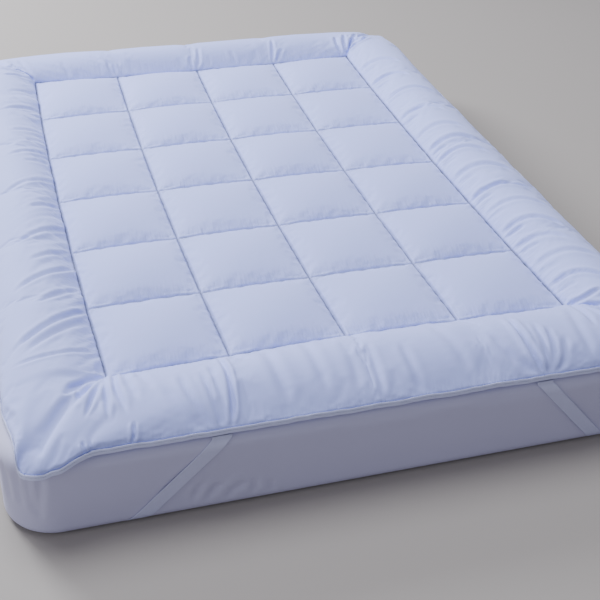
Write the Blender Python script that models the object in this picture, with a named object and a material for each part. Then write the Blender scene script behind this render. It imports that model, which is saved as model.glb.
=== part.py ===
"""A quilted mattress topper lying on a plain mattress.

The topper is one filled pad: four by six sewn cells inside a wide puffed border, closed by a
tape round its lower outer seam, with an elastic strap under each corner of the mattress.
Metres, +Z up. The origin is under the middle of the mattress, on the surface it stands on.
The long side runs along Y, with the foot end at -Y.
"""

from collections import namedtuple
from math import cos, hypot, pi, radians, sin, sqrt

import bmesh
import bpy
from mathutils import Matrix, Vector

# Driving sizes of the topper.
CELL_WIDTH = 0.240
CELL_LENGTH = 0.245
COLUMNS = 4
ROWS = 6
BORDER_WIDTH = 0.191
FRAME_HALF_WIDTH = COLUMNS * CELL_WIDTH / 2
FRAME_HALF_LENGTH = ROWS * CELL_LENGTH / 2
TOPPER_HALF_WIDTH = FRAME_HALF_WIDTH + BORDER_WIDTH
TOPPER_HALF_LENGTH = FRAME_HALF_LENGTH + BORDER_WIDTH
TOPPER_CORNER_RADIUS = 0.035

# Driving sizes of the mattress, which shows a little past the topper.
MATTRESS_HALF_WIDTH = TOPPER_HALF_WIDTH + 0.019
MATTRESS_HALF_LENGTH = TOPPER_HALF_LENGTH + 0.006
MATTRESS_HEIGHT = 0.170
MATTRESS_CORNER_RADIUS = 0.100
MATTRESS_TOP_RADIUS = 0.030
MATTRESS_BASE_RADIUS = 0.020

# Heights and thicknesses of the pad and of its tape.
PIECE_GAP = 0.0003
EDGE_CLEARANCE = 0.002
STITCH_HEIGHT = 0.188
CELL_CROWN = 0.026
BORDER_CROWN = 0.044
PAD_BASE_HEIGHT = MATTRESS_HEIGHT + PIECE_GAP
TAPE_HEIGHT = 0.012
TAPE_THICKNESS = 0.003
TAPE_MIDDLE_HEIGHT = 0.1736
PAD_EDGE_TOP = 0.0065
PAD_EDGE_BASE = 0.0050
TAPE_WAVE = 0.0025

# Elastic straps.
STRAP_WIDTH = 0.026
STRAP_THICKNESS = 0.0015
STRAP_GAP = 0.0004
STRAP_TOP_STEPS = 6
STRAP_BASE_STEPS = 5
STRAP_END_STEPS = 12
STRAP_END_GAP = 0.0006
GROOVE_GAP = 0.0001
GROOVE_SIDE_GAP = 0.0010
GROOVE_DEPTH_BELOW = 0.004

# How the row seams bow along Y: at the left frame seam, in the middle and at the right one,
# from the foot to the head.
RowSeam = namedtuple("RowSeam", "left middle right")
ROW_SEAMS = (
    RowSeam(0.004, 0.022, 0.010),
    RowSeam(0.001, 0.008, 0.006),
    RowSeam(-0.012, 0.000, -0.006),
    RowSeam(-0.014, -0.009, -0.018),
    RowSeam(-0.020, -0.010, -0.011),
    RowSeam(-0.018, -0.003, -0.002),
    RowSeam(0.006, -0.005, 0.008),
)
# The column seams bow to the left in the middle of the bed.
COLUMN_BOW_ENDS = 0.008
COLUMN_BOW_MIDDLE = -0.005

# How each corner of the topper hangs: how far its edge moves across, along and down.
Corner = namedtuple("Corner", "side end across along down")
CORNERS = (
    Corner(-1, -1, 0.014, -0.014, 0.021),
    Corner(1, -1, -0.006, -0.006, 0.010),
    Corner(-1, 1, 0.006, 0.008, 0.012),
    Corner(1, 1, -0.008, 0.006, 0.010),
)
CORNER_HANG_NEAR = 0.060
CORNER_HANG_FAR = 0.150

# Steps across one cell, as fractions of it.
CELL_STEPS = (0.0, 0.08, 0.27, 0.5, 0.73, 0.92)
# Section of the border from the frame seam to the edge seam: place of the step along a mitre,
# reach as a fraction of the border's width, and rise as a fraction of the crown.
BorderStep = namedtuple("BorderStep", "place reach rise")
BORDER_STEPS = (
    BorderStep(0.00, 0.00, 0.00),
    BorderStep(0.05, 0.05, 0.34),
    BorderStep(0.17, 0.17, 0.70),
    BorderStep(0.36, 0.36, 0.95),
    BorderStep(0.58, 0.58, 1.00),
    BorderStep(0.78, 0.78, 0.86),
    BorderStep(0.90, 0.94, 0.58),
    BorderStep(0.96, 1.02, 0.28),
    BorderStep(1.00, 1.00, 0.00),
)
LAST_STEP = len(BORDER_STEPS) - 1
# The border is pinched a little where each row or column seam ends at it.
BORDER_PINCH = 0.16
BORDER_PINCH_WIDTH = 0.12

# How far in from the edge seam the rings of the pad's underside lie.
BASE_RINGS = (0.010, 0.019, 0.031, 0.060)
# The underside is worked out from the mattress this much further in, to clear its rounding.
UNDERSIDE_MARGIN = 0.004

# Each strap: which corner it goes round, how far from the middle of the bed it turns under the
# foot or head end, and how far it runs across for each metre down that end.
Strap = namedtuple("Strap", "name side end turn slope")
STRAPS = (
    Strap("strap_front_left", -1, -1, 0.474, 1.03),
    Strap("strap_front_right", 1, -1, 0.495, 0.86),
    Strap("strap_back_left", -1, 1, 0.485, 1.00),
    Strap("strap_back_right", 1, 1, 0.485, 1.00),
)

# Colour, roughness and metallic value of each piece's cloth.
Cloth = namedtuple("Cloth", "name colour roughness")
TOPPER_MICROFIBRE = Cloth("topper_microfibre", (0.78, 0.80, 0.88), 0.85)
EDGE_TAPE = Cloth("edge_tape", (0.84, 0.85, 0.90), 0.80)
ELASTIC_WEBBING = Cloth("elastic_webbing", (0.74, 0.75, 0.80), 0.75)
MATTRESS_COVER = Cloth("mattress_cover", (0.70, 0.71, 0.76), 0.90)


def clear_scene():
    """Remove whatever the file holds."""
    for thing in list(bpy.data.objects):
        bpy.data.objects.remove(thing, do_unlink=True)


def new_collection(name):
    """Add a collection to the scene."""
    collection = bpy.data.collections.new(name)
    bpy.context.scene.collection.children.link(collection)
    return collection


def cloth_material(cloth):
    """Return the Principled material of one cloth, made on its first use."""
    material = bpy.data.materials.get(cloth.name) or bpy.data.materials.new(cloth.name)
    material.use_nodes = True
    shader = material.node_tree.nodes["Principled BSDF"]
    shader.inputs["Base Color"].default_value = (*cloth.colour, 1.0)
    shader.inputs["Roughness"].default_value = cloth.roughness
    shader.inputs["Metallic"].default_value = 0.0
    return material


def add_object(name, bm, collection, cloth=None):
    """Turn a bmesh into a named object with its cloth."""
    bmesh.ops.recalc_face_normals(bm, faces=bm.faces[:])
    mesh = bpy.data.meshes.new(name)
    bm.to_mesh(mesh)
    bm.free()
    thing = bpy.data.objects.new(name, mesh)
    collection.objects.link(thing)
    if cloth:
        mesh.materials.append(cloth_material(cloth))
        mesh.shade_smooth()
    return thing


def smooth_step(value):
    """Ease from 0 to 1, clamped outside that range."""
    value = min(1.0, max(0.0, value))
    return value * value * (3.0 - 2.0 * value)


def loft_rings(bm, rings, closed=True):
    """Join a list of vertex rings of equal length with quads."""
    count = len(rings[0])
    for first, second in zip(rings, rings[1:]):
        for i in range(count if closed else count - 1):
            after = (i + 1) % count
            bm.faces.new((first[i], first[after], second[after], second[i]))


# The mattress's surface, as the topper and straps meet it.

def distance_inside_mattress(x, y):
    """Plan distance from a point to the mattress's outline, positive inside."""
    across = abs(x) - (MATTRESS_HALF_WIDTH - MATTRESS_CORNER_RADIUS)
    along = abs(y) - (MATTRESS_HALF_LENGTH - MATTRESS_CORNER_RADIUS)
    outside = hypot(max(across, 0.0), max(along, 0.0)) + min(max(across, along), 0.0)
    return MATTRESS_CORNER_RADIUS - outside


def mattress_top(inside):
    """Height of the mattress's top at a distance inside its outline, or None outside it."""
    if inside < 0.0:
        return None
    short = max(MATTRESS_TOP_RADIUS - inside, 0.0)
    return MATTRESS_HEIGHT - MATTRESS_TOP_RADIUS + sqrt(MATTRESS_TOP_RADIUS ** 2 - short ** 2)


# The topper's plan: bowed seams and hanging corners.

def bowed(seam, across):
    """Shift of a row seam at a place from -1 at the left frame seam to 1 at the right one."""
    turn = (seam.left + seam.right) / 2 - seam.middle
    return seam.middle + across * (seam.right - seam.left) / 2 + across * across * turn


def quilt_plan(x, y):
    """Plan position of a point of the quilted field once its seams are bowed."""
    across = x / FRAME_HALF_WIDTH
    row = (y + FRAME_HALF_LENGTH) / CELL_LENGTH
    first = min(int(row + 1e-6), ROWS - 1)
    part = row - first
    shift = bowed(ROW_SEAMS[first], across) * (1 - part) + bowed(ROW_SEAMS[first + 1], across) * part
    bow = COLUMN_BOW_MIDDLE + (COLUMN_BOW_ENDS - COLUMN_BOW_MIDDLE) * (y / FRAME_HALF_LENGTH) ** 2
    return x + bow, y + shift


def rounded_edge_plan(x, y):
    """Move a point on the topper's square outline onto its rounded corner."""
    centre_x = TOPPER_HALF_WIDTH - TOPPER_CORNER_RADIUS
    centre_y = TOPPER_HALF_LENGTH - TOPPER_CORNER_RADIUS
    dx = abs(x) - centre_x
    dy = abs(y) - centre_y
    if dx <= 0.0 or dy <= 0.0:
        return x, y
    scale = max(dx, dy) / hypot(dx, dy)
    return (centre_x + dx * scale) * (1 if x > 0 else -1), (centre_y + dy * scale) * (1 if y > 0 else -1)


def edge_seam(x, y):
    """Position of the middle of the edge seam for a point on the square outline."""
    inset = 1.0 - (TAPE_THICKNESS + PIECE_GAP) / TOPPER_HALF_WIDTH
    plan_x, plan_y = rounded_edge_plan(x * inset, y * inset)
    wave = 0.6 * sin(17.0 * x + 3.0 * y) + 0.4 * sin(31.0 * y - 9.0 * x)
    height = TAPE_MIDDLE_HEIGHT + TAPE_WAVE * wave
    for corner in CORNERS:
        away = hypot(x - corner.side * TOPPER_HALF_WIDTH, y - corner.end * TOPPER_HALF_LENGTH)
        hang = smooth_step((CORNER_HANG_FAR - away) / (CORNER_HANG_FAR - CORNER_HANG_NEAR))
        plan_x += corner.across * hang
        plan_y += corner.along * hang
        height -= corner.down * hang
    reach_in = TAPE_THICKNESS + PIECE_GAP + EDGE_CLEARANCE
    surface = mattress_top(distance_inside_mattress(plan_x, plan_y) + reach_in)
    if surface is not None:
        height = max(height, surface + EDGE_CLEARANCE + TAPE_HEIGHT / 2)
    return Vector((plan_x, plan_y, height))


def border_crown(place, span, count, reach):
    """Crown of the border beside a frame seam, lower near the ends of the cell seams."""
    nearest = min(abs(place - index * span) for index in range(count + 1))
    near_seam = max(0.0, 1.0 - nearest / (BORDER_PINCH_WIDTH * span))
    return BORDER_CROWN * (1.0 - BORDER_PINCH * (1.0 - min(reach, 1.0)) * near_seam)


def cell_rise(column, row):
    """Rise of the quilted field at a place counted in cells from its left foot corner."""
    across = max(0.0, sin(pi * (column % 1.0))) ** 0.7
    along = max(0.0, sin(pi * (row % 1.0))) ** 0.7
    uneven = 1.0 + 0.10 * sin(2.1 * int(column) + 1.3 * int(row))
    return CELL_CROWN * uneven * across * along


def quilt_point(x, y):
    """A point of the pad's top inside the frame seam."""
    plan_x, plan_y = quilt_plan(x, y)
    column = (x + FRAME_HALF_WIDTH) / CELL_WIDTH
    row = (y + FRAME_HALF_LENGTH) / CELL_LENGTH
    return Vector((plan_x, plan_y, STITCH_HEIGHT + cell_rise(column, row)))


def border_point(x, y, step_x, step_y):
    """A point of the pad's top outside the frame seam, step_x or step_y steps out from it."""
    step = BORDER_STEPS[max(step_x, step_y)]
    out_x = BORDER_WIDTH * BORDER_STEPS[step_x].place / step.place
    out_y = BORDER_WIDTH * BORDER_STEPS[step_y].place / step.place
    edge = edge_seam(x + (out_x if x > 0 else -out_x), y + (out_y if y > 0 else -out_y))
    edge.z += PAD_EDGE_TOP
    frame = Vector((*quilt_plan(x, y), STITCH_HEIGHT))
    crown = BORDER_CROWN
    if step_y == 0:
        crown = border_crown(y + FRAME_HALF_LENGTH, CELL_LENGTH, ROWS, step.reach)
    if step_x == 0:
        crown = border_crown(x + FRAME_HALF_WIDTH, CELL_WIDTH, COLUMNS, step.reach)
    return frame.lerp(edge, step.reach) + Vector((0.0, 0.0, crown * step.rise))


def grid_lines(half, span, count):
    """Lines across the pad: the frame-limited coordinate and the steps out from the frame."""
    lines = [(-half, step) for step in range(LAST_STEP, 0, -1)]
    for cell in range(count):
        lines += [(-half + (cell + part) * span, 0) for part in CELL_STEPS]
    lines += [(half, step) for step in range(LAST_STEP + 1)]
    return lines


def pad_top_point(line_x, line_y):
    """The pad's top where two grid lines cross."""
    if line_x[1] == 0 and line_y[1] == 0:
        return quilt_point(line_x[0], line_y[0])
    return border_point(line_x[0], line_y[0], line_x[1], line_y[1])


def outline_places():
    """Points round the square outline, one for each grid line that meets it."""
    def places(half, span, count):
        """Coordinates of the grid lines on an edge of the outline."""
        return [value + (BORDER_WIDTH * BORDER_STEPS[step].place) * (1 if value > 0 else -1)
                for value, step in grid_lines(half, span, count)]
    across = places(FRAME_HALF_WIDTH, CELL_WIDTH, COLUMNS)
    along = places(FRAME_HALF_LENGTH, CELL_LENGTH, ROWS)
    outline = [(x, along[0]) for x in across[:-1]]
    outline += [(across[-1], y) for y in along[:-1]]
    outline += [(x, along[-1]) for x in reversed(across[1:])]
    outline += [(across[0], y) for y in reversed(along[1:])]
    return outline


def pad_underside_height(x, y, seam_height, share):
    """Height of the pad's underside at a share of the way in from the edge seam."""
    height = (seam_height - PAD_EDGE_BASE) * (1 - share) + PAD_BASE_HEIGHT * share
    surface = mattress_top(distance_inside_mattress(x, y) + UNDERSIDE_MARGIN)
    if surface is not None and share < 1.0:
        height = max(height, surface + EDGE_CLEARANCE)
    return height


def make_pad(collection):
    """The filled pad: quilted crown, puffed border, edge seam and flat underside."""
    across = grid_lines(FRAME_HALF_WIDTH, CELL_WIDTH, COLUMNS)
    along = grid_lines(FRAME_HALF_LENGTH, CELL_LENGTH, ROWS)
    bm = bmesh.new()
    grid = [[bm.verts.new(pad_top_point(line_x, line_y)) for line_x in across] for line_y in along]
    loft_rings(bm, grid, closed=False)
    rim = grid[0][:-1] + [row[-1] for row in grid[:-1]]
    rim += grid[-1][:0:-1] + [row[0] for row in reversed(grid[1:])]
    seams = [edge_seam(x, y) for x, y in outline_places()]
    rings = [rim, [bm.verts.new(seam - Vector((0.0, 0.0, PAD_EDGE_BASE))) for seam in seams]]
    for inset in BASE_RINGS:
        ring = []
        for seam in seams:
            x = seam.x * (1 - inset / TOPPER_HALF_WIDTH)
            y = seam.y * (1 - inset / TOPPER_HALF_LENGTH)
            ring.append(bm.verts.new((x, y, pad_underside_height(x, y, seam.z, inset / BASE_RINGS[-1]))))
        rings.append(ring)
    loft_rings(bm, rings)
    bm.faces.new(rings[-1])
    add_object("topper_pad", bm, collection, TOPPER_MICROFIBRE)


def outward(points, index):
    """Plan direction out of a closed anticlockwise outline at one of its points."""
    before = points[index - 1]
    after = points[(index + 1) % len(points)]
    return Vector((after.y - before.y, before.x - after.x, 0.0)).normalized()


def make_edge_tape(collection):
    """The tape that closes the edge seam all the way round."""
    seams = [edge_seam(x, y) for x, y in outline_places()]
    bm = bmesh.new()
    outside = PIECE_GAP + TAPE_THICKNESS
    corners = ((PIECE_GAP, -1), (outside, -1), (outside, 1), (PIECE_GAP, 1))
    rings = []
    for offset, level in corners:
        lift = Vector((0.0, 0.0, level * TAPE_HEIGHT / 2))
        places = [seam + outward(seams, index) * offset + lift for index, seam in enumerate(seams)]
        rings.append([bm.verts.new(place) for place in places])
    loft_rings(bm, rings + rings[:1])
    add_object("edge_binding", bm, collection, EDGE_TAPE)


# Straps: a section is two lines of points, on the mattress's side and on the outer side.

def wrap_profile(half_size, inner, thickness, top_angle):
    """Places down a mattress face: distance travelled, and outward reach and height inside and out."""
    top_middle = MATTRESS_HEIGHT - MATTRESS_TOP_RADIUS
    base_middle = MATTRESS_BASE_RADIUS + STRAP_GAP + STRAP_THICKNESS + PIECE_GAP
    places = []
    travelled = 0.0
    for step in range(STRAP_TOP_STEPS, -1, -1):
        angle = radians(top_angle * step / STRAP_TOP_STEPS)
        places.append((half_size - MATTRESS_TOP_RADIUS, top_middle, MATTRESS_TOP_RADIUS, angle))
    for step in range(STRAP_BASE_STEPS + 1):
        angle = -pi / 2 * step / STRAP_BASE_STEPS
        places.append((half_size - MATTRESS_BASE_RADIUS, base_middle, MATTRESS_BASE_RADIUS, angle))
    profile = []
    last = None
    for centre, height, radius, angle in places:
        near = (centre + (radius + inner) * cos(angle), height + (radius + inner) * sin(angle))
        far_radius = radius + inner + thickness
        far = (centre + far_radius * cos(angle), height + far_radius * sin(angle))
        if last:
            travelled += hypot(near[0] - last[0], near[1] - last[1])
        profile.append((travelled, near, far))
        last = near
    return profile


def face_sections(strap, on_end, width, inner, thickness, top_angle):
    """Sections of a strap down the foot or head end, or down the side, top first."""
    slope = strap.slope if on_end else 1.0 / strap.slope
    half_size = MATTRESS_HALF_LENGTH if on_end else MATTRESS_HALF_WIDTH
    profile = wrap_profile(half_size, inner, thickness, top_angle)
    total = profile[-1][0]
    half = width / 2 * sqrt(1.0 + slope * slope)
    turn = strap.turn if on_end else side_turn(strap)
    sections = []
    for travelled, near, far in profile:
        middle = turn - slope * (total - travelled)
        low, high = middle - half, middle + half
        corners = ((low, near), (high, near), (high, far), (low, far))
        sections.append([strap_point(strap, on_end, place, reach) for place, reach in corners])
    return sections


def side_turn(strap):
    """How far along the side from the middle of the bed a strap turns up it."""
    start = MATTRESS_HALF_LENGTH - MATTRESS_BASE_RADIUS
    return start - (MATTRESS_HALF_WIDTH - MATTRESS_BASE_RADIUS - strap.turn) / strap.slope


def strap_point(strap, on_end, place, reach):
    """World position of a strap point from its place along a face and its reach and height."""
    outward_reach, height = reach
    x, y = (place, outward_reach) if on_end else (outward_reach, place)
    return Vector((strap.side * x, strap.end * y, height))


def middle_section(strap, width, inner, thickness):
    """The square-cut section half way under the mattress's corner."""
    start_x = strap.turn
    end_x = MATTRESS_HALF_WIDTH - MATTRESS_BASE_RADIUS
    start_y = MATTRESS_HALF_LENGTH - MATTRESS_BASE_RADIUS
    middle = Vector(((start_x + end_x) / 2, (start_y + side_turn(strap)) / 2))
    cross = Vector((-1.0, -strap.slope)).normalized() * (width / 2)
    top = STRAP_THICKNESS + PIECE_GAP + STRAP_GAP - inner
    points = [(middle + cross, top), (middle - cross, top), (middle - cross, top - thickness)]
    points.append((middle + cross, top - thickness))
    return [Vector((strap.side * place.x, strap.end * place.y, height)) for place, height in points]


def strap_sections(strap, width, inner, thickness, end_angle, side_angle):
    """All sections of a strap, from the foot or head end round the corner to the side."""
    down = face_sections(strap, True, width, inner, thickness, end_angle)
    up = face_sections(strap, False, width, inner, thickness, side_angle)
    return down + [middle_section(strap, width, inner, thickness)] + up[::-1]


def loft_band(name, sections, collection, cloth=None):
    """A closed band through four-point sections."""
    bm = bmesh.new()
    rings = [[bm.verts.new(point) for point in section] for section in sections]
    loft_rings(bm, rings)
    bm.faces.new(rings[0])
    bm.faces.new(rings[-1])
    return add_object(name, bm, collection, cloth)


def raised_end(section):
    """A strap's sewn end: the section lifted until it meets the tape."""
    level = max(point.z for point in section)
    across = [section[0].lerp(section[1], step / STRAP_END_STEPS) for step in range(STRAP_END_STEPS + 1)]
    tape = min(seam_height_near(point) for point in across) - TAPE_HEIGHT / 2
    return [point + Vector((0.0, 0.0, tape - STRAP_END_GAP - level)) for point in section]


def seam_height_near(point):
    """Height of the edge seam at the outline's nearest place to a point."""
    if abs(point.x) / TOPPER_HALF_WIDTH > abs(point.y) / TOPPER_HALF_LENGTH:
        return edge_seam(TOPPER_HALF_WIDTH * (1 if point.x > 0 else -1), point.y).z
    return edge_seam(point.x, TOPPER_HALF_LENGTH * (1 if point.y > 0 else -1)).z


def top_angle_for(overhang):
    """How far up the mattress's rounded top edge a strap goes to come under the tape."""
    reach = MATTRESS_TOP_RADIUS - overhang - TAPE_THICKNESS / 2 - STRAP_THICKNESS / 2
    low, high = 0.0, 90.0
    for _ in range(30):
        middle = (low + high) / 2
        if (MATTRESS_TOP_RADIUS + STRAP_GAP) * cos(radians(middle)) > reach:
            low = middle
        else:
            high = middle
    return low


def make_strap(strap, collection, cutters):
    """One elastic strap, and the cutter of the groove it presses into the mattress."""
    end_angle = top_angle_for(MATTRESS_HALF_LENGTH - TOPPER_HALF_LENGTH)
    side_angle = top_angle_for(MATTRESS_HALF_WIDTH - TOPPER_HALF_WIDTH)
    sections = strap_sections(strap, STRAP_WIDTH, STRAP_GAP, STRAP_THICKNESS, end_angle, side_angle)
    sections = [raised_end(sections[0])] + sections + [raised_end(sections[-1])]
    loft_band(strap.name, sections, collection, ELASTIC_WEBBING)
    width = STRAP_WIDTH + 2 * GROOVE_SIDE_GAP
    groove = strap_sections(strap, width, GROOVE_GAP, GROOVE_DEPTH_BELOW, end_angle, side_angle)
    cutter = loft_band("groove_" + strap.name, groove[STRAP_TOP_STEPS + 1:-STRAP_TOP_STEPS - 1], cutters)
    cutter.hide_render = True
    cutter.display_type = "WIRE"
    return cutter


def edges_where(bm, test):
    """The edges both of whose ends pass a test."""
    return [edge for edge in bm.edges if all(test(vert.co) for vert in edge.verts)]


def round_edges(bm, edges, radius, segments):
    """Round edges to a radius."""
    bmesh.ops.bevel(bm, geom=edges, offset=radius, segments=segments, profile=0.5, affect="EDGES")


def make_mattress(collection, groove_cutters):
    """The plain mattress: a rounded block pressed in where the straps pass under it."""
    bm = bmesh.new()
    size = (2 * MATTRESS_HALF_WIDTH, 2 * MATTRESS_HALF_LENGTH, MATTRESS_HEIGHT)
    middle = Matrix.Translation((0.0, 0.0, MATTRESS_HEIGHT / 2))
    bmesh.ops.create_cube(bm, size=1.0, matrix=middle @ Matrix.Diagonal((*size, 1.0)))
    upright = [edge for edge in bm.edges if edge.verts[0].co.xy == edge.verts[1].co.xy]
    round_edges(bm, upright, MATTRESS_CORNER_RADIUS, 10)
    top = edges_where(bm, lambda place: place.z > MATTRESS_HEIGHT - 1e-4)
    round_edges(bm, top, MATTRESS_TOP_RADIUS, 5)
    base = edges_where(bm, lambda place: place.z < 1e-4)
    round_edges(bm, base, MATTRESS_BASE_RADIUS, STRAP_BASE_STEPS)
    mattress = add_object("mattress", bm, collection, MATTRESS_COVER)
    for cutter in groove_cutters:
        groove = mattress.modifiers.new(cutter.name, "BOOLEAN")
        groove.operation = "DIFFERENCE"
        groove.solver = "EXACT"
        groove.object = cutter


def main():
    """Build every piece."""
    clear_scene()
    pieces = new_collection("mattress_topper_on_a_mattress")
    cutters = new_collection("cutters")
    make_pad(pieces)
    make_edge_tape(pieces)
    grooves = [make_strap(strap, pieces, cutters) for strap in STRAPS]
    make_mattress(pieces, grooves)


main()
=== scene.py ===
"""Looks of a quilted mattress topper that lies on a plain mattress.

The topper is a filled pad: a field of four by six sewn cells inside a wide puffed border. A
folded tape closes its edge seam, and an elastic strap holds each corner under the mattress.
The pad's cover is settled by a cloth simulation with its seams held, and then gets the gathers
and creases that the sewing and the straps pull into it.
"""

import logging
import math
from dataclasses import dataclass, field
from enum import Enum
from typing import Iterable, Sequence

import bmesh
import bpy
import numpy as np
from mathutils import Matrix, Vector


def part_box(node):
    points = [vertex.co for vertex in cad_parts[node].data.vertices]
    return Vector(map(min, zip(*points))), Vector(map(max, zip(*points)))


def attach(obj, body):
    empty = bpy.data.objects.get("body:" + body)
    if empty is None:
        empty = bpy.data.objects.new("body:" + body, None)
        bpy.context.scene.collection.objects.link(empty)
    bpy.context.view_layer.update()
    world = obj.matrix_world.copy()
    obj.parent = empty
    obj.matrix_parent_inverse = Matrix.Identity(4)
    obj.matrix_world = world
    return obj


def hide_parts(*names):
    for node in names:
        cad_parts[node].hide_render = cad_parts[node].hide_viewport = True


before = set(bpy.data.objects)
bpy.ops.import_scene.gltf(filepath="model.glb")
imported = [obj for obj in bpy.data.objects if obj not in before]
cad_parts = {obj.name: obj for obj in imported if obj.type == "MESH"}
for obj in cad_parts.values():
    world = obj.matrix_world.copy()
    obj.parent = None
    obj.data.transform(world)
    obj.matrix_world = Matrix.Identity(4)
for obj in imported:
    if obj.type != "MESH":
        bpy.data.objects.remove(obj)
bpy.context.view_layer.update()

ROOT_BODY = "root"
LOG = logging.getLogger("topper")

Array = np.ndarray


class Slot(Enum):
    """The record's material slots."""

    COVER = "topper_microfibre"
    TAPE = "edge_tape"
    ELASTIC = "elastic_webbing"
    MATTRESS = "mattress_cover"


class Hold(Enum):
    """Ways that a sheet of cloth can be held."""

    STRETCHED = "stretched"
    FOLDED = "folded"


# ---------------------------------------------------------------- shader maths

class Wire:
    """A shader socket that takes part in plain arithmetic."""

    def __init__(self, graph: "ShaderGraph", socket: bpy.types.NodeSocket) -> None:
        """Wrap a socket of a graph."""
        self.graph = graph
        self.socket = socket

    def _maths(self, operation: str, first: object, second: object) -> "Wire":
        """Add a Math node on two values."""
        return self.graph.node("ShaderNodeMath", {"operation": operation}, {0: first, 1: second})

    def __add__(self, other: object) -> "Wire":
        """Sum."""
        return self._maths("ADD", self, other)

    def __radd__(self, other: object) -> "Wire":
        """Sum with a number on the left."""
        return self._maths("ADD", other, self)

    def __sub__(self, other: object) -> "Wire":
        """Difference."""
        return self._maths("SUBTRACT", self, other)

    def __rsub__(self, other: object) -> "Wire":
        """Difference with a number on the left."""
        return self._maths("SUBTRACT", other, self)

    def __mul__(self, other: object) -> "Wire":
        """Product."""
        return self._maths("MULTIPLY", self, other)

    def __rmul__(self, other: object) -> "Wire":
        """Product with a number on the left."""
        return self._maths("MULTIPLY", other, self)


Colour = Sequence[float] | Wire


class ShaderGraph:
    """The node tree of one material, built from expressions."""

    def __init__(self, name: str) -> None:
        """Start a material with a Principled shader and its output.

        Args:
            name: the material's name.
        """
        self.material = bpy.data.materials.new(name)
        self.material.use_nodes = True
        self.tree = self.material.node_tree
        self.shader = self.tree.nodes["Principled BSDF"]

    def node(self, kind: str, settings: dict | None = None, values: dict | None = None,
             output: int | str = 0) -> Wire:
        """Add a node.

        Args:
            kind: the node's type.
            settings: its properties, set first; "stops" are a ramp's places and colours.
            values: numbers, colours or wires for its inputs, by index or name.
            output: which output to return.

        Returns:
            The wire of that output.
        """
        node = self.tree.nodes.new(kind)
        for key, value in (settings or {}).items():
            if key == "stops":
                self._set_stops(node.color_ramp, value)
            else:
                setattr(node, key, value)
        for key, value in (values or {}).items():
            self.feed(node.inputs[key], value)
        return Wire(self, node.outputs[output])

    def feed(self, socket: bpy.types.NodeSocket, value: object) -> None:
        """Link a wire to a socket, or set the socket's value.

        Args:
            socket: the input to feed.
            value: a wire, or a plain value.
        """
        if isinstance(value, Wire):
            self.tree.links.new(value.socket, socket)
        else:
            socket.default_value = value

    @staticmethod
    def _set_stops(ramp: bpy.types.ColorRamp, stops: Sequence[tuple]) -> None:
        """Give a colour ramp its stops.

        Args:
            ramp: the ramp of a Color Ramp node.
            stops: places from 0 to 1, each with its colour.
        """
        while len(ramp.elements) < len(stops):
            ramp.elements.new(1.0)
        for element, (place, colour) in zip(ramp.elements, stops):
            element.position = place
            element.color = colour

    def position(self, scale: Sequence[float] = (1.0, 1.0, 1.0)) -> Wire:
        """Object coordinates in metres, stretched by a scale."""
        place = self.node("ShaderNodeTexCoord", output="Object")
        return self.node("ShaderNodeVectorMath", {"operation": "MULTIPLY"}, {0: place, 1: tuple(scale)})

    def noise(self, place: Wire, scale: float, detail: float = 2.0, roughness: float = 0.5) -> Wire:
        """A noise value from 0 to 1."""
        values = {"Vector": place, "Scale": scale, "Detail": detail, "Roughness": roughness}
        return self.node("ShaderNodeTexNoise", {}, values)

    def bands(self, place: Wire, direction: str, scale: float, **values: float) -> Wire:
        """A wave of straight bands from 0 to 1.

        Args:
            place: where the wave is read.
            direction: X, Y or DIAGONAL.
            scale: how close the bands lie.
            values: the node's other values, by name.

        Returns:
            The wave.
        """
        settings = {"wave_type": "BANDS", "bands_direction": direction}
        return self.node("ShaderNodeTexWave", settings, {"Vector": place, "Scale": scale, **values})

    def attribute(self, name: str) -> Wire:
        """A number stored on the mesh's points."""
        return self.node("ShaderNodeAttribute", {"attribute_name": name}, output="Fac")

    def blend(self, factor: Wire | float, first: Colour, second: Colour) -> Wire:
        """Mix two colours."""
        return self.node("ShaderNodeMix", {"data_type": "RGBA"}, {0: factor, 6: first, 7: second}, 2)

    def bump(self, height: Wire, strength: float, distance: float, normal: Wire | None = None) -> Wire:
        """A bump from a height, over an earlier bump if there is one.

        Args:
            height: the height, from 0 to 1.
            strength: how strongly it shows.
            distance: metres from lowest to highest.
            normal: the earlier bump.

        Returns:
            The bumped normal.
        """
        values = {"Height": height, "Strength": strength, "Distance": distance}
        if normal:
            values["Normal"] = normal
        return self.node("ShaderNodeBump", {}, values)

    def finish(self, **sockets: object) -> bpy.types.Material:
        """Feed the shader's sockets.

        Args:
            sockets: values or wires, named as the sockets with _ for a space.

        Returns:
            The finished material.
        """
        for name, value in sockets.items():
            self.feed(self.shader.inputs[name.replace("_", " ")], value)
        return self.material


def opaque(colour: Sequence[float], share: float = 1.0) -> tuple:
    """A colour times a share, with full alpha."""
    return (colour[0] * share, colour[1] * share, colour[2] * share, 1.0)


# ---------------------------------------------------------------- finishes

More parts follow.
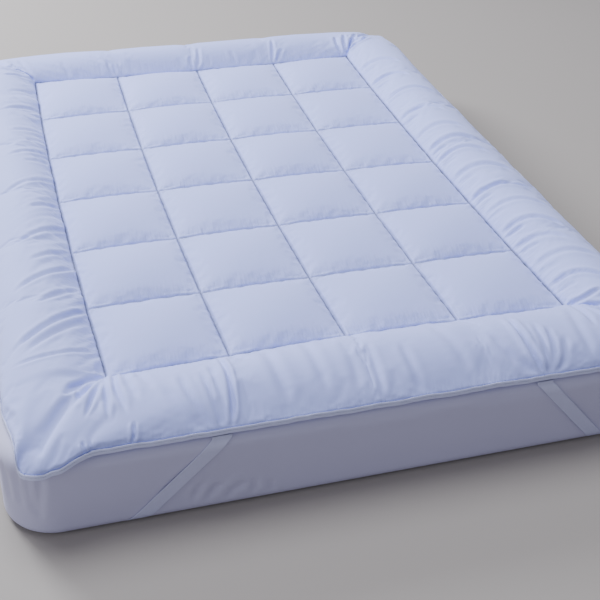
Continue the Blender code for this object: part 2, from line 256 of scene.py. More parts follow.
@dataclass(frozen=True)
class BrushedMicrofibre:
    """The topper's cover: matt brushed cloth, with puckers beside its seams and painted shade darkening its
    colour along them.
    """

    colour: tuple = (0.425, 0.490, 0.955)
    shade: float = 0.94
    # Share of the colour kept along the seams: painted shade standing in for the shadow in the stitched
    # grooves.
    seam_painted_shade: float = 0.30
    roughness: float = 0.78
    nap_scale: float = 220.0
    weave_scale: float = 70.0
    crumple_scale: float = 34.0
    pucker_scale: float = 150.0
    pucker_stretch: float = 22.0

    def material(self) -> bpy.types.Material:
        """Build the cover's material.

        Returns:
            The material.
        """
        g = ShaderGraph("brushed_microfibre")
        place = g.position()
        cloudy = g.noise(place, 5.0, 3.0)
        nap = g.noise(place, self.nap_scale, 3.0, 0.6)
        tint = g.blend(cloudy * 0.8 + nap * 0.2, opaque(self.colour, self.shade), opaque(self.colour))
        # Painted shade: the colour darkens along each seam by the seam attribute, in place of the shadow in
        # its groove.
        tint = g.blend(g.attribute("seam"), tint, opaque(self.colour, self.seam_painted_shade))
        fine, long = self.pucker_scale, self.pucker_stretch
        across = g.noise(g.position((fine, long, 60.0)), 1.0, 2.0) * g.attribute("row_pucker")
        along = g.noise(g.position((long, fine, 60.0)), 1.0, 2.0) * g.attribute("column_pucker")
        crumple = g.noise(place, self.crumple_scale, 4.0, 0.55)
        weave = g.bands(place, "DIAGONAL", self.weave_scale, Distortion=1.5, Detail=1.0)
        normal = g.bump(crumple, 0.13, 0.004)
        normal = g.bump(across + along, 0.62, 0.0042, normal)
        normal = g.bump(nap * 0.7 + weave * 0.3, 0.10, 0.0004, normal)
        rough = self.roughness + (nap - 0.5) * 0.12
        return g.finish(Base_Color=tint, Roughness=rough, Normal=normal, Sheen_Weight=0.25,
                        Sheen_Roughness=0.5, Specular_IOR_Level=0.25)


@dataclass(frozen=True)
class WovenTape:
    """The edge tape: firm plain weave with a rib."""

    colour: tuple = (0.62, 0.66, 0.96)
    rib_scale: float = 210.0

    def material(self) -> bpy.types.Material:
        """Build the tape's material from ribs along its length.

        Returns:
            The material.
        """
        g = ShaderGraph("woven_edge_tape")
        place = g.node("ShaderNodeUVMap", {"uv_map": "cloth"})
        rib = g.bands(place, "X", self.rib_scale, Distortion=0.6)
        fleck = g.noise(g.position(), 160.0, 3.0)
        tint = g.blend(fleck * 0.6 + rib * 0.4, opaque(self.colour, 0.86), opaque(self.colour))
        normal = g.bump(rib * 0.8 + fleck * 0.5, 0.35, 0.0005)
        return g.finish(Base_Color=tint, Roughness=0.72 + fleck * 0.15, Normal=normal, Sheen_Weight=0.15)


@dataclass(frozen=True)
class RibbedElastic:
    """The straps: knitted elastic with ribs along its length and a fine cross rib."""

    colour: tuple = (0.56, 0.58, 0.82)
    cord_scale: float = 150.0
    rib_scale: float = 260.0

    def material(self) -> bpy.types.Material:
        """Build the elastic's material from the strap's own length and width.

        Returns:
            The material.
        """
        g = ShaderGraph("ribbed_elastic")
        place = g.node("ShaderNodeUVMap", {"uv_map": "cloth"})
        cord = g.bands(place, "Y", self.cord_scale)
        rib = g.bands(place, "X", self.rib_scale, Distortion=0.8)
        fleck = g.noise(g.position(), 90.0, 3.0)
        tint = g.blend(cord * 0.4 + fleck * 0.6, opaque(self.colour, 0.85), opaque(self.colour))
        normal = g.bump(cord * 0.7 + rib * 0.5, 0.4, 0.0005)
        return g.finish(Base_Color=tint, Roughness=0.7 + fleck * 0.15, Normal=normal)


@dataclass(frozen=True)
class CottonCover:
    """The mattress's plain cover: smooth cotton, a little creased."""

    colour: tuple = (0.49, 0.49, 0.69)

    def material(self) -> bpy.types.Material:
        """Build the mattress cover's material.

        Returns:
            The material.
        """
        g = ShaderGraph("cotton_cover")
        place = g.position()
        cloudy = g.noise(place, 4.0, 3.0)
        thread = g.noise(g.position((1.0, 1.0, 6.0)), 260.0, 2.0)
        tint = g.blend(cloudy * 0.75 + thread * 0.25, opaque(self.colour, 0.93), opaque(self.colour))
        crumple = g.noise(g.position((1.0, 1.0, 0.5)), 16.0, 4.0, 0.5)
        normal = g.bump(crumple, 0.16, 0.006)
        normal = g.bump(thread, 0.12, 0.0004, normal)
        return g.finish(Base_Color=tint, Roughness=0.8 + thread * 0.12, Normal=normal, Sheen_Weight=0.1)


@dataclass(frozen=True)
class SewingThread:
    """Polyester thread, sunk in its seam, coloured greyer than the cloth as painted shade of the seams'
    grooves.
    """

    # Painted shade: the thread's colour is darkened to a grey-blue so the seams read as shaded grooves.
    colour: tuple = (0.30, 0.33, 0.44)
    twist_scale: float = 500.0

    def material(self) -> bpy.types.Material:
        """Build the thread's material with the twist of its plies.

        Returns:
            The material.
        """
        g = ShaderGraph("sewing_thread")
        twist = g.bands(g.position(), "DIAGONAL", self.twist_scale)
        tint = g.blend(twist, opaque(self.colour, 0.8), opaque(self.colour))
        return g.finish(Base_Color=tint, Roughness=0.5 + twist * 0.1, Normal=g.bump(twist, 0.3, 0.0002))


@dataclass(frozen=True)
class PaleFloor:
    """The studio's plain pale floor."""

    colour: tuple = (0.33, 0.305, 0.29)

    def material(self) -> bpy.types.Material:
        """Build the floor's material.

        Returns:
            The material.
        """
        g = ShaderGraph("pale_floor")
        haze = g.noise(g.position(), 1.2, 3.0)
        tint = g.blend(haze, opaque(self.colour, 0.97), opaque(self.colour))
        return g.finish(Base_Color=tint, Roughness=0.75)


# ---------------------------------------------------------------- numbers over surfaces

def ease(value: Array) -> Array:
    """Ease from 0 to 1, clamped outside that range."""
    value = np.clip(value, 0.0, 1.0)
    return value * value * (3.0 - 2.0 * value)


def bell(away: Array, width: Array | float) -> Array:
    """A bell curve: 1 on a line, and about a third a width away from it."""
    return np.exp(-(away / width) ** 2)


class Unevenness:
    """Smooth seeded noise on a plane, from -1 to 1."""

    SIZE = 256

    def __init__(self, seed: int) -> None:
        """Draw the lattice of one noise."""
        self.lattice = np.random.default_rng(seed).uniform(-1.0, 1.0, (self.SIZE, self.SIZE))

    def at(self, x: Array, y: Array | float = 0.0) -> Array:
        """Value at places counted in lattice steps.

        Args:
            x: places one way.
            y: places the other way.

        Returns:
            The noise there, from -1 to 1.
        """
        x, y = np.broadcast_arrays(np.asarray(x, float), np.asarray(y, float))
        left, low = np.floor(x).astype(int), np.floor(y).astype(int)
        along, up = ease(x - left), ease(y - low)

        def corner(right: int, above: int) -> Array:
            """Lattice values at one corner of each place's square."""
            return self.lattice[(low + above) % self.SIZE, (left + right) % self.SIZE]

        bottom = corner(0, 0) * (1 - along) + corner(1, 0) * along
        top = corner(0, 1) * (1 - along) + corner(1, 1) * along
        return bottom * (1 - up) + top * up


def walked(line: Array) -> Array:
    """Distances walked along a line of points, from its first one."""
    return np.concatenate([[0.0], np.cumsum(np.linalg.norm(np.diff(line, axis=0), axis=1))])


# ---------------------------------------------------------------- meshes

def add_mesh(name: str, points: Array, faces: Iterable[Sequence[int]],
             smooth: bool = True) -> bpy.types.Object:
    """Make an object from points and faces.

    Args:
        name: the piece's name.
        points: its points, one row each.
        faces: point numbers of each face.
        smooth: whether its faces are shaded smooth.

    Returns:
        The new object, linked to the scene.
    """
    mesh = bpy.data.meshes.new(name)
    mesh.from_pydata(np.asarray(points).tolist(), [], [list(face) for face in faces])
    mesh.validate()
    if smooth:
        mesh.shade_smooth()
    thing = bpy.data.objects.new(name, mesh)
    bpy.context.scene.collection.objects.link(thing)
    return thing


def face_outward(thing: bpy.types.Object) -> None:
    """Turn all faces of a closed mesh outward.

    Args:
        thing: the object whose mesh is turned.
    """
    bm = bmesh.new()
    bm.from_mesh(thing.data)
    bmesh.ops.recalc_face_normals(bm, faces=bm.faces[:])
    bm.to_mesh(thing.data)
    bm.free()


def grid_faces(numbers: Array) -> list:
    """Quads of a grid of point numbers."""
    quads = np.stack([numbers[:-1, :-1], numbers[:-1, 1:], numbers[1:, 1:], numbers[1:, :-1]], -1)
    return quads.reshape(-1, 4).tolist()


def ring_faces(first: Sequence[int], second: Sequence[int]) -> list:
    """Quads between two closed rings of point numbers."""
    count = len(first)
    return [(first[i], first[(i + 1) % count], second[(i + 1) % count], second[i]) for i in range(count)]


def numbered(rows: int, columns: int) -> Array:
    """Point numbers of a grid, row by row."""
    return np.arange(rows * columns).reshape(rows, columns)


def tube_faces(numbers: Array) -> list:
    """Quads between closed rings of point numbers, one ring a row."""
    pairs = zip(numbers, numbers[1:])
    return [face for first, second in pairs for face in ring_faces(list(first), list(second))]


def rim_of(numbers: Array) -> list:
    """The point numbers round a grid, in order."""
    rim = list(numbers[0, :-1]) + list(numbers[:-1, -1])
    return rim + list(numbers[-1, :0:-1]) + list(numbers[:0:-1, 0])


def grid_normals(points: Array) -> Array:
    """Unit normals of a grid of points.

    Args:
        points: rows of points.

    Returns:
        A normal for each of them.
    """
    across = np.gradient(points, axis=1)
    along = np.gradient(points, axis=0)
    normal = np.cross(across, along)
    return normal / np.maximum(np.linalg.norm(normal, axis=-1, keepdims=True), 1e-12)


def store(thing: bpy.types.Object, name: str, values: Array) -> None:
    """Store a number on each point of a mesh."""
    attribute = thing.data.attributes.new(name, "FLOAT", "POINT")
    attribute.data.foreach_set("value", np.asarray(values, np.float32).ravel())


def dress(thing: bpy.types.Object, material: bpy.types.Material, slot: Slot, *nodes: str) -> bpy.types.Object:
    """Give a piece its material and its body, log its slot, and hide the CAD nodes that it stands for.

    Args:
        thing: the piece.
        material: its finish.
        slot: its material slot.
        nodes: the CAD nodes that it replaces.

    Returns:
        The same piece.
    """
    thing.data.materials.clear()
    thing.data.materials.append(material)
    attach(thing, ROOT_BODY)
    if nodes:
        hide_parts(*nodes)
    count = sum(len(face.vertices) - 2 for face in thing.data.polygons)
    LOG.info("%s: %d triangles, slot %s", thing.name, count, slot.value)
    return thing


# ---------------------------------------------------------------- the mattress's form

@dataclass(frozen=True)
class MattressForm:
    """The rounded block of the mattress, as the frame gives it."""

    half_width: float
    half_length: float
    height: float
    corner_radius: float = 0.100
    top_radius: float = 0.030
    base_radius: float = 0.020

    @classmethod
    def from_frame(cls) -> "MattressForm":
        """Read the sizes from the CAD mattress."""
        _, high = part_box("mattress")
        return cls(high.x, high.y, high.z)

    def inside(self, x: Array, y: Array) -> Array:
        """Plan distance from places to the outline, positive inside.

        Args:
            x: places across the bed.
            y: places along the bed.

        Returns:
            The distances.
        """
        across = np.abs(x) - (self.half_width - self.corner_radius)
        along = np.abs(y) - (self.half_length - self.corner_radius)
        beyond = np.hypot(np.maximum(across, 0), np.maximum(along, 0))
        return self.corner_radius - (beyond + np.minimum(np.maximum(across, along), 0))

    def top(self, inside: Array) -> Array:
        """Height of the top at distances inside the outline, and far below outside it.

        Args:
            inside: distances inside the outline.

        Returns:
            The heights.
        """
        short = np.clip(self.top_radius - inside, 0.0, self.top_radius)
        height = self.height - self.top_radius + np.sqrt(self.top_radius ** 2 - short ** 2)
        return np.where(inside < 0.0, -1.0, height)


# ---------------------------------------------------------------- the topper's plan

@dataclass(frozen=True)
class RowSeam:
    """Shift along the bed of a row seam at its left end, middle and right end."""

    left: float
    middle: float
    right: float


@dataclass(frozen=True)
class Corner:
    """How one corner of the topper hangs: moved across, along and down."""

    side: int
    end: int
    across: float
    along: float
    down: float


@dataclass(frozen=True)
class TopperPlan:
    """Where the topper's seams run, as sewn and as it lies."""

    mattress: MattressForm
    cell_width: float = 0.240
    cell_length: float = 0.245
    columns: int = 4
    rows: int = 6
    border: float = 0.191
    corner_radius: float = 0.035
    stitch_height: float = 0.188
    tape_middle: float = 0.1736
    tape_wave: float = 0.0025
    tape_height: float = 0.012
    tape_thickness: float = 0.003
    gap: float = 0.0003
    clearance: float = 0.002
    column_bow_ends: float = 0.008
    column_bow_middle: float = -0.005
    row_seams: tuple = (
        RowSeam(0.004, 0.022, 0.010),
        RowSeam(0.001, 0.008, 0.006),
        RowSeam(-0.012, 0.000, -0.006),
        RowSeam(-0.014, -0.009, -0.018),
        RowSeam(-0.020, -0.010, -0.011),
        RowSeam(-0.018, -0.003, -0.002),
        RowSeam(0.006, -0.005, 0.008),
    )
    corners: tuple = (
        Corner(-1, -1, 0.014, -0.014, 0.021),
        Corner(1, -1, -0.006, -0.006, 0.010),
        Corner(-1, 1, 0.006, 0.008, 0.012),
        Corner(1, 1, -0.008, 0.006, 0.010),
    )
    hang_near: float = 0.060
    hang_far: float = 0.150

    @property
    def frame_width(self) -> float:
        """Half the width between the frame seams."""
        return self.columns * self.cell_width / 2

    @property
    def frame_length(self) -> float:
        """Half the length between the frame seams."""
        return self.rows * self.cell_length / 2

    @property
    def half_width(self) -> float:
        """Half the topper's width."""
        return self.frame_width + self.border

    @property
    def half_length(self) -> float:
        """Half the topper's length."""
        return self.frame_length + self.border

    def cells(self, x: Array, y: Array) -> tuple[Array, Array]:
        """Places counted in cells from the field's left foot corner."""
        return (x + self.frame_width) / self.cell_width, (y + self.frame_length) / self.cell_length

    def from_corner(self, corner: Corner, x: Array, y: Array) -> Array:
        """Distances of places from a corner of the square outline."""
        return np.hypot(x - corner.side * self.half_width, y - corner.end * self.half_length)

    def bowed(self, x: Array, y: Array) -> tuple[Array, Array]:
        """Plan position of places in the quilted field once its seams are bowed.

        Args:
            x: places across the field as sewn.
            y: places along the field as sewn.

        Returns:
            The places across and along as it lies.
        """
        across = x / self.frame_width
        row = self.cells(x, y)[1]
        first = np.clip(np.floor(row + 1e-6), 0, self.rows - 1).astype(int)
        part = row - first
        table = np.array([(seam.left, seam.middle, seam.right) for seam in self.row_seams])
        turn = (table[:, 0] + table[:, 2]) / 2 - table[:, 1]
        slope = (table[:, 2] - table[:, 0]) / 2

        def shift(number: Array) -> Array:
            """Shift of numbered row seams."""
            return table[number, 1] + across * slope[number] + across ** 2 * turn[number]

        to_ends = (y / self.frame_length) ** 2
        bow = self.column_bow_middle + (self.column_bow_ends - self.column_bow_middle) * to_ends
        return x + bow, y + shift(first) * (1 - part) + shift(first + 1) * part

    def edge(self, x: Array, y: Array) -> Array:
        """Middle of the edge seam for places on the square outline.

        Args:
            x: places across, on the outline.
            y: places along, on the outline.

        Returns:
            Points of the seam as it lies on the mattress.
        """
        inset = 1.0 - (self.tape_thickness + self.gap) / self.half_width
        plan_x, plan_y = self._rounded(x * inset, y * inset)
        wave = 0.6 * np.sin(17.0 * x + 3.0 * y) + 0.4 * np.sin(31.0 * y - 9.0 * x)
        height = self.tape_middle + self.tape_wave * wave
        for corner in self.corners:
            away = self.from_corner(corner, x, y)
            hang = ease((self.hang_far - away) / (self.hang_far - self.hang_near))
            plan_x = plan_x + corner.across * hang
            plan_y = plan_y + corner.along * hang
            height = height - corner.down * hang
        reach_in = self.tape_thickness + self.gap + self.clearance
        surface = self.mattress.top(self.mattress.inside(plan_x, plan_y) + reach_in)
        height = np.maximum(height, surface + self.clearance + self.tape_height / 2)
        return np.stack([plan_x, plan_y, height], -1)

    def _rounded(self, x: Array, y: Array) -> tuple[Array, Array]:
        """Move places on the square outline onto its rounded corners.

        Args:
            x: places across.
            y: places along.

        Returns:
            The moved places.
        """
        centre_x = self.half_width - self.corner_radius
        centre_y = self.half_length - self.corner_radius
        dx, dy = np.abs(x) - centre_x, np.abs(y) - centre_y
        at_corner = (dx > 0) & (dy > 0)
        scale = np.where(at_corner, np.maximum(dx, dy) / np.maximum(np.hypot(dx, dy), 1e-9), 1.0)
        new_x = np.where(at_corner, np.sign(x) * (centre_x + dx * scale), x)
        new_y = np.where(at_corner, np.sign(y) * (centre_y + dy * scale), y)
        return new_x, new_y

    def outline(self, step: float) -> Array:
        """Places round the square outline, a step apart, anticlockwise from the left foot corner.

        Args:
            step: distance from place to place.

        Returns:
            The places, a row each.
        """
        across = np.linspace(-self.half_width, self.half_width, int(2 * self.half_width / step))
        along = np.linspace(-self.half_length, self.half_length, int(2 * self.half_length / step))
        sides = [
            [(x, -self.half_length) for x in across[:-1]],
            [(self.half_width, y) for y in along[:-1]],
            [(x, self.half_length) for x in across[:0:-1]],
            [(-self.half_width, y) for y in along[:0:-1]],
        ]
        return np.array([place for side in sides for place in side])


# ---------------------------------------------------------------- the grid over the topper

@dataclass(frozen=True)
class Spread:
    """The cover laid flat: coordinates held inside the frame, and signed places in the border."""

    x: Array
    y: Array
    place_x: Array
    place_y: Array

    @property
    def out(self) -> Array:
        """Place from the frame seam, 0, to the edge seam, 1."""
        return np.maximum(np.abs(self.place_x), np.abs(self.place_y))

    @property
    def inside(self) -> Array:
        """Whether each point is in the quilted field."""
        return (self.place_x == 0) & (self.place_y == 0)

    @property
    def sideways(self) -> Array:
        """Whether each point is further out across the bed than along it."""
        return np.abs(self.place_x) > np.abs(self.place_y)


@dataclass
class TopGrid:
    """A grid over the whole topper: field lines between the frame seams, border lines outside."""

    plan: TopperPlan
    cell_steps: int
    border_steps: int
    seam_crowding: float = 0.48
    x: Array = field(init=False)
    y: Array = field(init=False)
    place_x: Array = field(init=False)
    place_y: Array = field(init=False)

    def __post_init__(self) -> None:
        """Lay out the lines both ways."""
        self.x, self.place_x = self._lines(self.plan.frame_width, self.plan.cell_width, self.plan.columns)
        self.y, self.place_y = self._lines(self.plan.frame_length, self.plan.cell_length, self.plan.rows)

    def _lines(self, half: float, span: float, count: int) -> tuple[Array, Array]:
        """Lines one way: the coordinate held inside the frame, and the signed place in the border.

        Args:
            half: half the distance between the frame seams.
            span: width of a cell.
            count: number of cells.

        Returns:
            The held coordinates and the places.
        """
        even = np.arange(self.cell_steps) / self.cell_steps
        crowded = even - self.seam_crowding * np.sin(2 * math.pi * even) / (2 * math.pi)
        cells = np.concatenate([-half + (cell + crowded) * span for cell in range(count)] + [[half]])
        outward = np.arange(1, self.border_steps + 1) / self.border_steps
        held = np.concatenate([np.full(self.border_steps, -half), cells, np.full(self.border_steps, half)])
        place = np.concatenate([-outward[::-1], np.zeros(len(cells)), outward])
        return held, place

    @property
    def seam_lines(self) -> tuple[Array, Array]:
        """Numbers of the grid lines that are sewn, both ways, with the outermost ones.

        Returns:
            The column lines and the row lines.
        """
        first = self.border_steps

        def numbers(count: int) -> Array:
            """Sewn lines one way."""
            inner = first + np.arange(count + 1) * self.cell_steps
            return np.concatenate([[0], inner, [inner[-1] + first]])

        return numbers(self.plan.columns), numbers(self.plan.rows)

    def spread(self) -> Spread:
        """The crossings of the lines, as full grids."""
        return Spread(*np.meshgrid(self.x, self.y), *np.meshgrid(self.place_x, self.place_y))


@dataclass(frozen=True)
class BorderSection:
    """The border's section from the frame seam over its crown to the edge seam."""

    width: float
    crown: float
    inner_lean: float = 0.98
    outer_power: float = 0.74
    overhang: float = 0.05
    samples: int = 400

    def curve(self, place: Array) -> tuple[Array, Array, Array, Array]:
        """Reach, overhang, and the inner and outer shares of the rise, at even places along the cloth.

        Args:
            place: places from the frame seam, 0, to the edge seam, 1.

        Returns:
            The four of them.
        """
        turn = np.linspace(0.0, 1.0, self.samples)
        first = np.clip(turn * 2, 0, 1)
        second = np.clip(turn * 2 - 1, 0, 1)
        inner = np.sin(first * math.pi / 2)
        outer = np.maximum(np.cos(second * math.pi / 2), 0.0) ** self.outer_power
        reach = 0.5 * first ** self.inner_lean + 0.5 * np.sin(second * math.pi / 2)
        over = self.overhang * np.sin(second * math.pi) * second ** 2
        steps = np.hypot(np.diff(reach * self.width), np.diff(inner * outer * self.crown))
        travelled = np.concatenate([[0.0], np.cumsum(steps)])
        at = np.clip(place, 0, 1) * travelled[-1]
        return tuple(np.interp(at, travelled, part) for part in (reach, over, inner, outer))


@dataclass
class PadForm:
    """The pad's smooth form before its creases."""

    plan: TopperPlan
    cell_crown: float = 0.024
    border_crown: float = 0.041
    cell_power: float = 0.66
    edge_top: float = 0.0065
    pinch: float = 0.12
    pinch_width: float = 0.16
    corner_norm: float = 3.0
    foot_lower: float = 0.29
    head_lower: float = 0.10
    uneven_cells: float = 0.10
    uneven_crown: float = 0.06
    edge_zone: float = 0.72
    drop_reach: float = 0.24

    def points(self, grid: TopGrid) -> Array:
        """Points of the pad's top over a grid.

        Args:
            grid: the grid of held coordinates and places.

        Returns:
            The points, in rows.
        """
        plan = self.plan
        spread = grid.spread()
        x, y, place_x, place_y = spread.x, spread.y, spread.place_x, spread.place_y
        away_x, away_y = np.abs(place_x), np.abs(place_y)
        out = spread.out
        safe = np.maximum(out, 1e-9)
        section = BorderSection(plan.border, self.border_crown)
        outline_x = x + plan.border * np.sign(place_x) * section.curve(away_x / safe)[0]
        outline_y = y + plan.border * np.sign(place_y) * section.curve(away_y / safe)[0]
        edge = plan.edge(outline_x, outline_y)
        edge[..., 2] += self.edge_top
        bowed_x, bowed_y = plan.bowed(x, y)
        reach_x, over_x, _, outer_x = section.curve(away_x)
        reach_y, over_y, _, outer_y = section.curve(away_y)
        corner_round = (away_x ** self.corner_norm + away_y ** self.corner_norm) ** (1 / self.corner_norm)
        inner = section.curve(np.minimum(corner_round, 0.5))[2]
        outer = outer_x * outer_y
        target_x = np.where(away_x > 0, np.sign(place_x) * plan.half_width, x)
        target_y = np.where(away_y > 0, np.sign(place_y) * plan.half_length, y)
        plan_x = bowed_x + (target_x - bowed_x) * reach_x * (away_x > 0)
        plan_x = plan_x + (x - bowed_x) * reach_y * (1 - reach_x)
        plan_y = bowed_y + (target_y - bowed_y) * reach_y * (away_y > 0)
        plan_y = plan_y + (y - bowed_y) * reach_x * (1 - reach_y)
        plan_x = plan_x + np.sign(place_x) * plan.border * over_x * (1 - ease(2 * away_y))
        plan_y = plan_y + np.sign(place_y) * plan.border * over_y * (1 - ease(2 * away_x))
        pull = np.minimum((reach_x ** 4 + reach_y ** 4) ** 0.25, 1.0) ** 1.5
        pull = np.where(out >= 1, 1.0, pull)
        plan_x = plan_x + (edge[..., 0] - outline_x) * pull
        plan_y = plan_y + (edge[..., 1] - outline_y) * pull
        crown = self.border_crown * self._crown_share(spread)
        level = plan.tape_middle + self.edge_top + self._corner_drop(outline_x, outline_y)
        height = plan.stitch_height + (level - plan.stitch_height) * pull ** 2 + crown * inner * outer
        height = height + (edge[..., 2] - level) * ease((out - self.edge_zone) / (1 - self.edge_zone))
        border = np.stack([plan_x, plan_y, height], -1)
        field_points = np.stack([bowed_x, bowed_y, plan.stitch_height + self._cell_rise(x, y)], -1)
        return np.where((out > 0)[..., None], border, field_points)

    def _corner_drop(self, x: Array, y: Array) -> Array:
        """How far the cover near each corner leans down, for places on the square outline.

        Args:
            x: places across, on the outline.
            y: places along, on the outline.

        Returns:
            The drop, negative downward.
        """
        drop = np.zeros_like(x)
        for corner in self.plan.corners:
            drop = drop - corner.down * ease(1 - self.plan.from_corner(corner, x, y) / self.drop_reach)
        return drop

    def _cell_rise(self, x: Array, y: Array) -> Array:
        """Rise of the quilted cells.

        Args:
            x: places across the field.
            y: places along the field.

        Returns:
            The rise above the seams.
        """
        column, row = self.plan.cells(x, y)
        across = np.abs(np.sin(math.pi * column)) ** self.cell_power
        along = np.abs(np.sin(math.pi * row)) ** self.cell_power
        uneven = 1.0 + self.uneven_cells * np.sin(2.1 * np.floor(column + 1e-6) + 1.3 * np.floor(row + 1e-6))
        return self.cell_crown * uneven * across * along

    def _crown_share(self, at: Spread) -> Array:
        """Share of the border's crown, lower where the cell seams end and a little uneven.

        Args:
            at: the cover laid flat.

        Returns:
            The share at each point.
        """
        def near(value: Array, half: float, span: float) -> Array:
            """Nearness to the end of a cell seam, from 0 to 1, and 0 at the field's corners."""
            away = np.abs((value + half) / span - np.round((value + half) / span))
            return np.clip(1 - away / self.pinch_width, 0, 1) * ease((half - np.abs(value)) / span * 2)

        plan, out = self.plan, at.out
        beside = near(at.y, plan.frame_length, plan.cell_length) * (at.place_y == 0)
        beside = np.maximum(beside, near(at.x, plan.frame_width, plan.cell_width) * (at.place_x == 0))
        slack = Unevenness(11).at(at.x * 9.0 + 40.0, at.y * 9.0 + 40.0) * self.uneven_crown
        to_side = 1 - np.abs(at.place_x)
        ends = 1.0 - self.foot_lower * ease(np.maximum(-at.place_y, 0) * 8) * to_side
        ends = ends - self.head_lower * ease(np.maximum(at.place_y, 0) * 8) * to_side
        return ends - self.pinch * ease(beside) * (1 - out) + slack * ease(out * 3) * ease((1 - out) * 3)


# ---------------------------------------------------------------- settling the cloth

@dataclass(frozen=True)
class ClothSettling:
    """Settings of the cloth simulation of the pad's cover."""

    frames: int = 22
    pressure: float = 1.3
    field_slack: float = 0.004
    border_slack: float = 0.022
    bending: float = 0.16
    stiffness: float = 25.0
    most_move: float = 0.012
    mass: float = 0.15
    quality: int = 4

    def settle(self, points: Array, sewn: Array, slack: Array) -> Array:
        """Let the cover puff and buckle between its sewn lines.

        Args:
            points: grid of points of the cover.
            sewn: which of them are held.
            slack: share of the border's slack at each of them.

        Returns:
            The settled grid of points.
        """
        thing = add_mesh("settling_cover", points.reshape(-1, 3), grid_faces(numbered(*points.shape[:2])))
        group = thing.vertex_groups.new(name="sewn")
        group.add(np.nonzero(sewn.ravel())[0].tolist(), 1.0, "REPLACE")
        loose = thing.vertex_groups.new(name="loose")
        for number, share in enumerate(slack.ravel().tolist()):
            loose.add([number], share, "REPLACE")
        cloth = thing.modifiers.new("settle", "CLOTH")
        settings = cloth.settings
        settings.vertex_group_mass = "sewn"
        settings.quality = self.quality
        settings.mass = self.mass
        settings.tension_stiffness = self.stiffness
        settings.compression_stiffness = self.stiffness
        settings.shear_stiffness = self.stiffness / 3
        settings.bending_stiffness = self.bending
        settings.use_pressure = True
        settings.uniform_pressure_force = self.pressure
        settings.vertex_group_shrink = "loose"
        settings.shrink_min = -self.field_slack
        settings.shrink_max = -self.border_slack
        settings.effector_weights.gravity = 0.0
        cloth.collision_settings.use_collision = False
        for number in range(1, self.frames + 1):
            bpy.context.scene.frame_set(number)
        settled = thing.evaluated_get(bpy.context.evaluated_depsgraph_get()).to_mesh()
        result = np.empty(len(settled.vertices) * 3)
        settled.vertices.foreach_get("co", result)
        bpy.context.scene.frame_set(1)
        bpy.data.objects.remove(thing, do_unlink=True)
        moved = result.reshape(points.shape) - points
        length = np.linalg.norm(moved, axis=-1, keepdims=True)
        LOG.info("cloth settled: moved %.1f mm on average, %.1f mm at most",
                 1000 * length.mean(), 1000 * length.max())
        return points + moved * np.minimum(1.0, self.most_move / np.maximum(length, 1e-9))


def halved(values: Array, breaks: Array, axis: int) -> Array:
    """Put a point between each two along an axis, on smooth curves between the breaks.

    Args:
        values: a grid of numbers or points.
        breaks: lines across which the curves don't run on.
        axis: 0 for rows, 1 for columns.

    Returns:
        The finer grid.
    """
    values = np.moveaxis(values, axis, 0)
    parts = []
    for first, last in zip(breaks, breaks[1:]):
        run = values[first:last + 1]
        middle = (run[:-1] + run[1:]) / 2
        if len(run) > 3:
            middle[1:-1] = (9 * (run[1:-2] + run[2:-1]) - run[:-3] - run[3:]) / 16
            middle[0] = (3 * run[0] + 6 * run[1] - run[2]) / 8
            middle[-1] = (3 * run[-1] + 6 * run[-2] - run[-3]) / 8
        mixed = np.empty((2 * len(run) - 1,) + run.shape[1:])
        mixed[0::2] = run
        mixed[1::2] = middle
        parts.append(mixed[:-1])
    parts.append(values[-1:])
    return np.moveaxis(np.concatenate(parts), 0, axis)


# ---------------------------------------------------------------- gathers and creases

@dataclass(frozen=True)
class Gather:
    """Puckers that run out from a sewn line."""

    seed: int
    pitch: float
    reach: float
    depth: float
    slant: float = 0.0
    sharpness: float = 1.6

    def height(self, along: Array, away: Array) -> Array:
        """Height of the puckers at places along the seam and distances from it.

        Args:
            along: places along the seam.
            away: distances from the seam.

        Returns:
            The height.
        """
        noise = Unevenness(self.seed)
        drift = along + self.slant * away + 0.004 * noise.at(along / 0.05, away / 0.05 + 9.0)
        wave = noise.at(drift / self.pitch, away / (self.reach * 2.5))
        wave = wave + 0.5 * noise.at(drift / self.pitch * 2.1 + 50.0)
        length = self.reach * (0.55 + 0.45 * noise.at(along / (self.pitch * 1.7) + 70.0))
        fade = np.exp(-(np.maximum(away, 0) / np.maximum(length, 0.004)) ** self.sharpness)
        return self.depth * wave * fade * ease(away / 0.007) * (away >= 0)


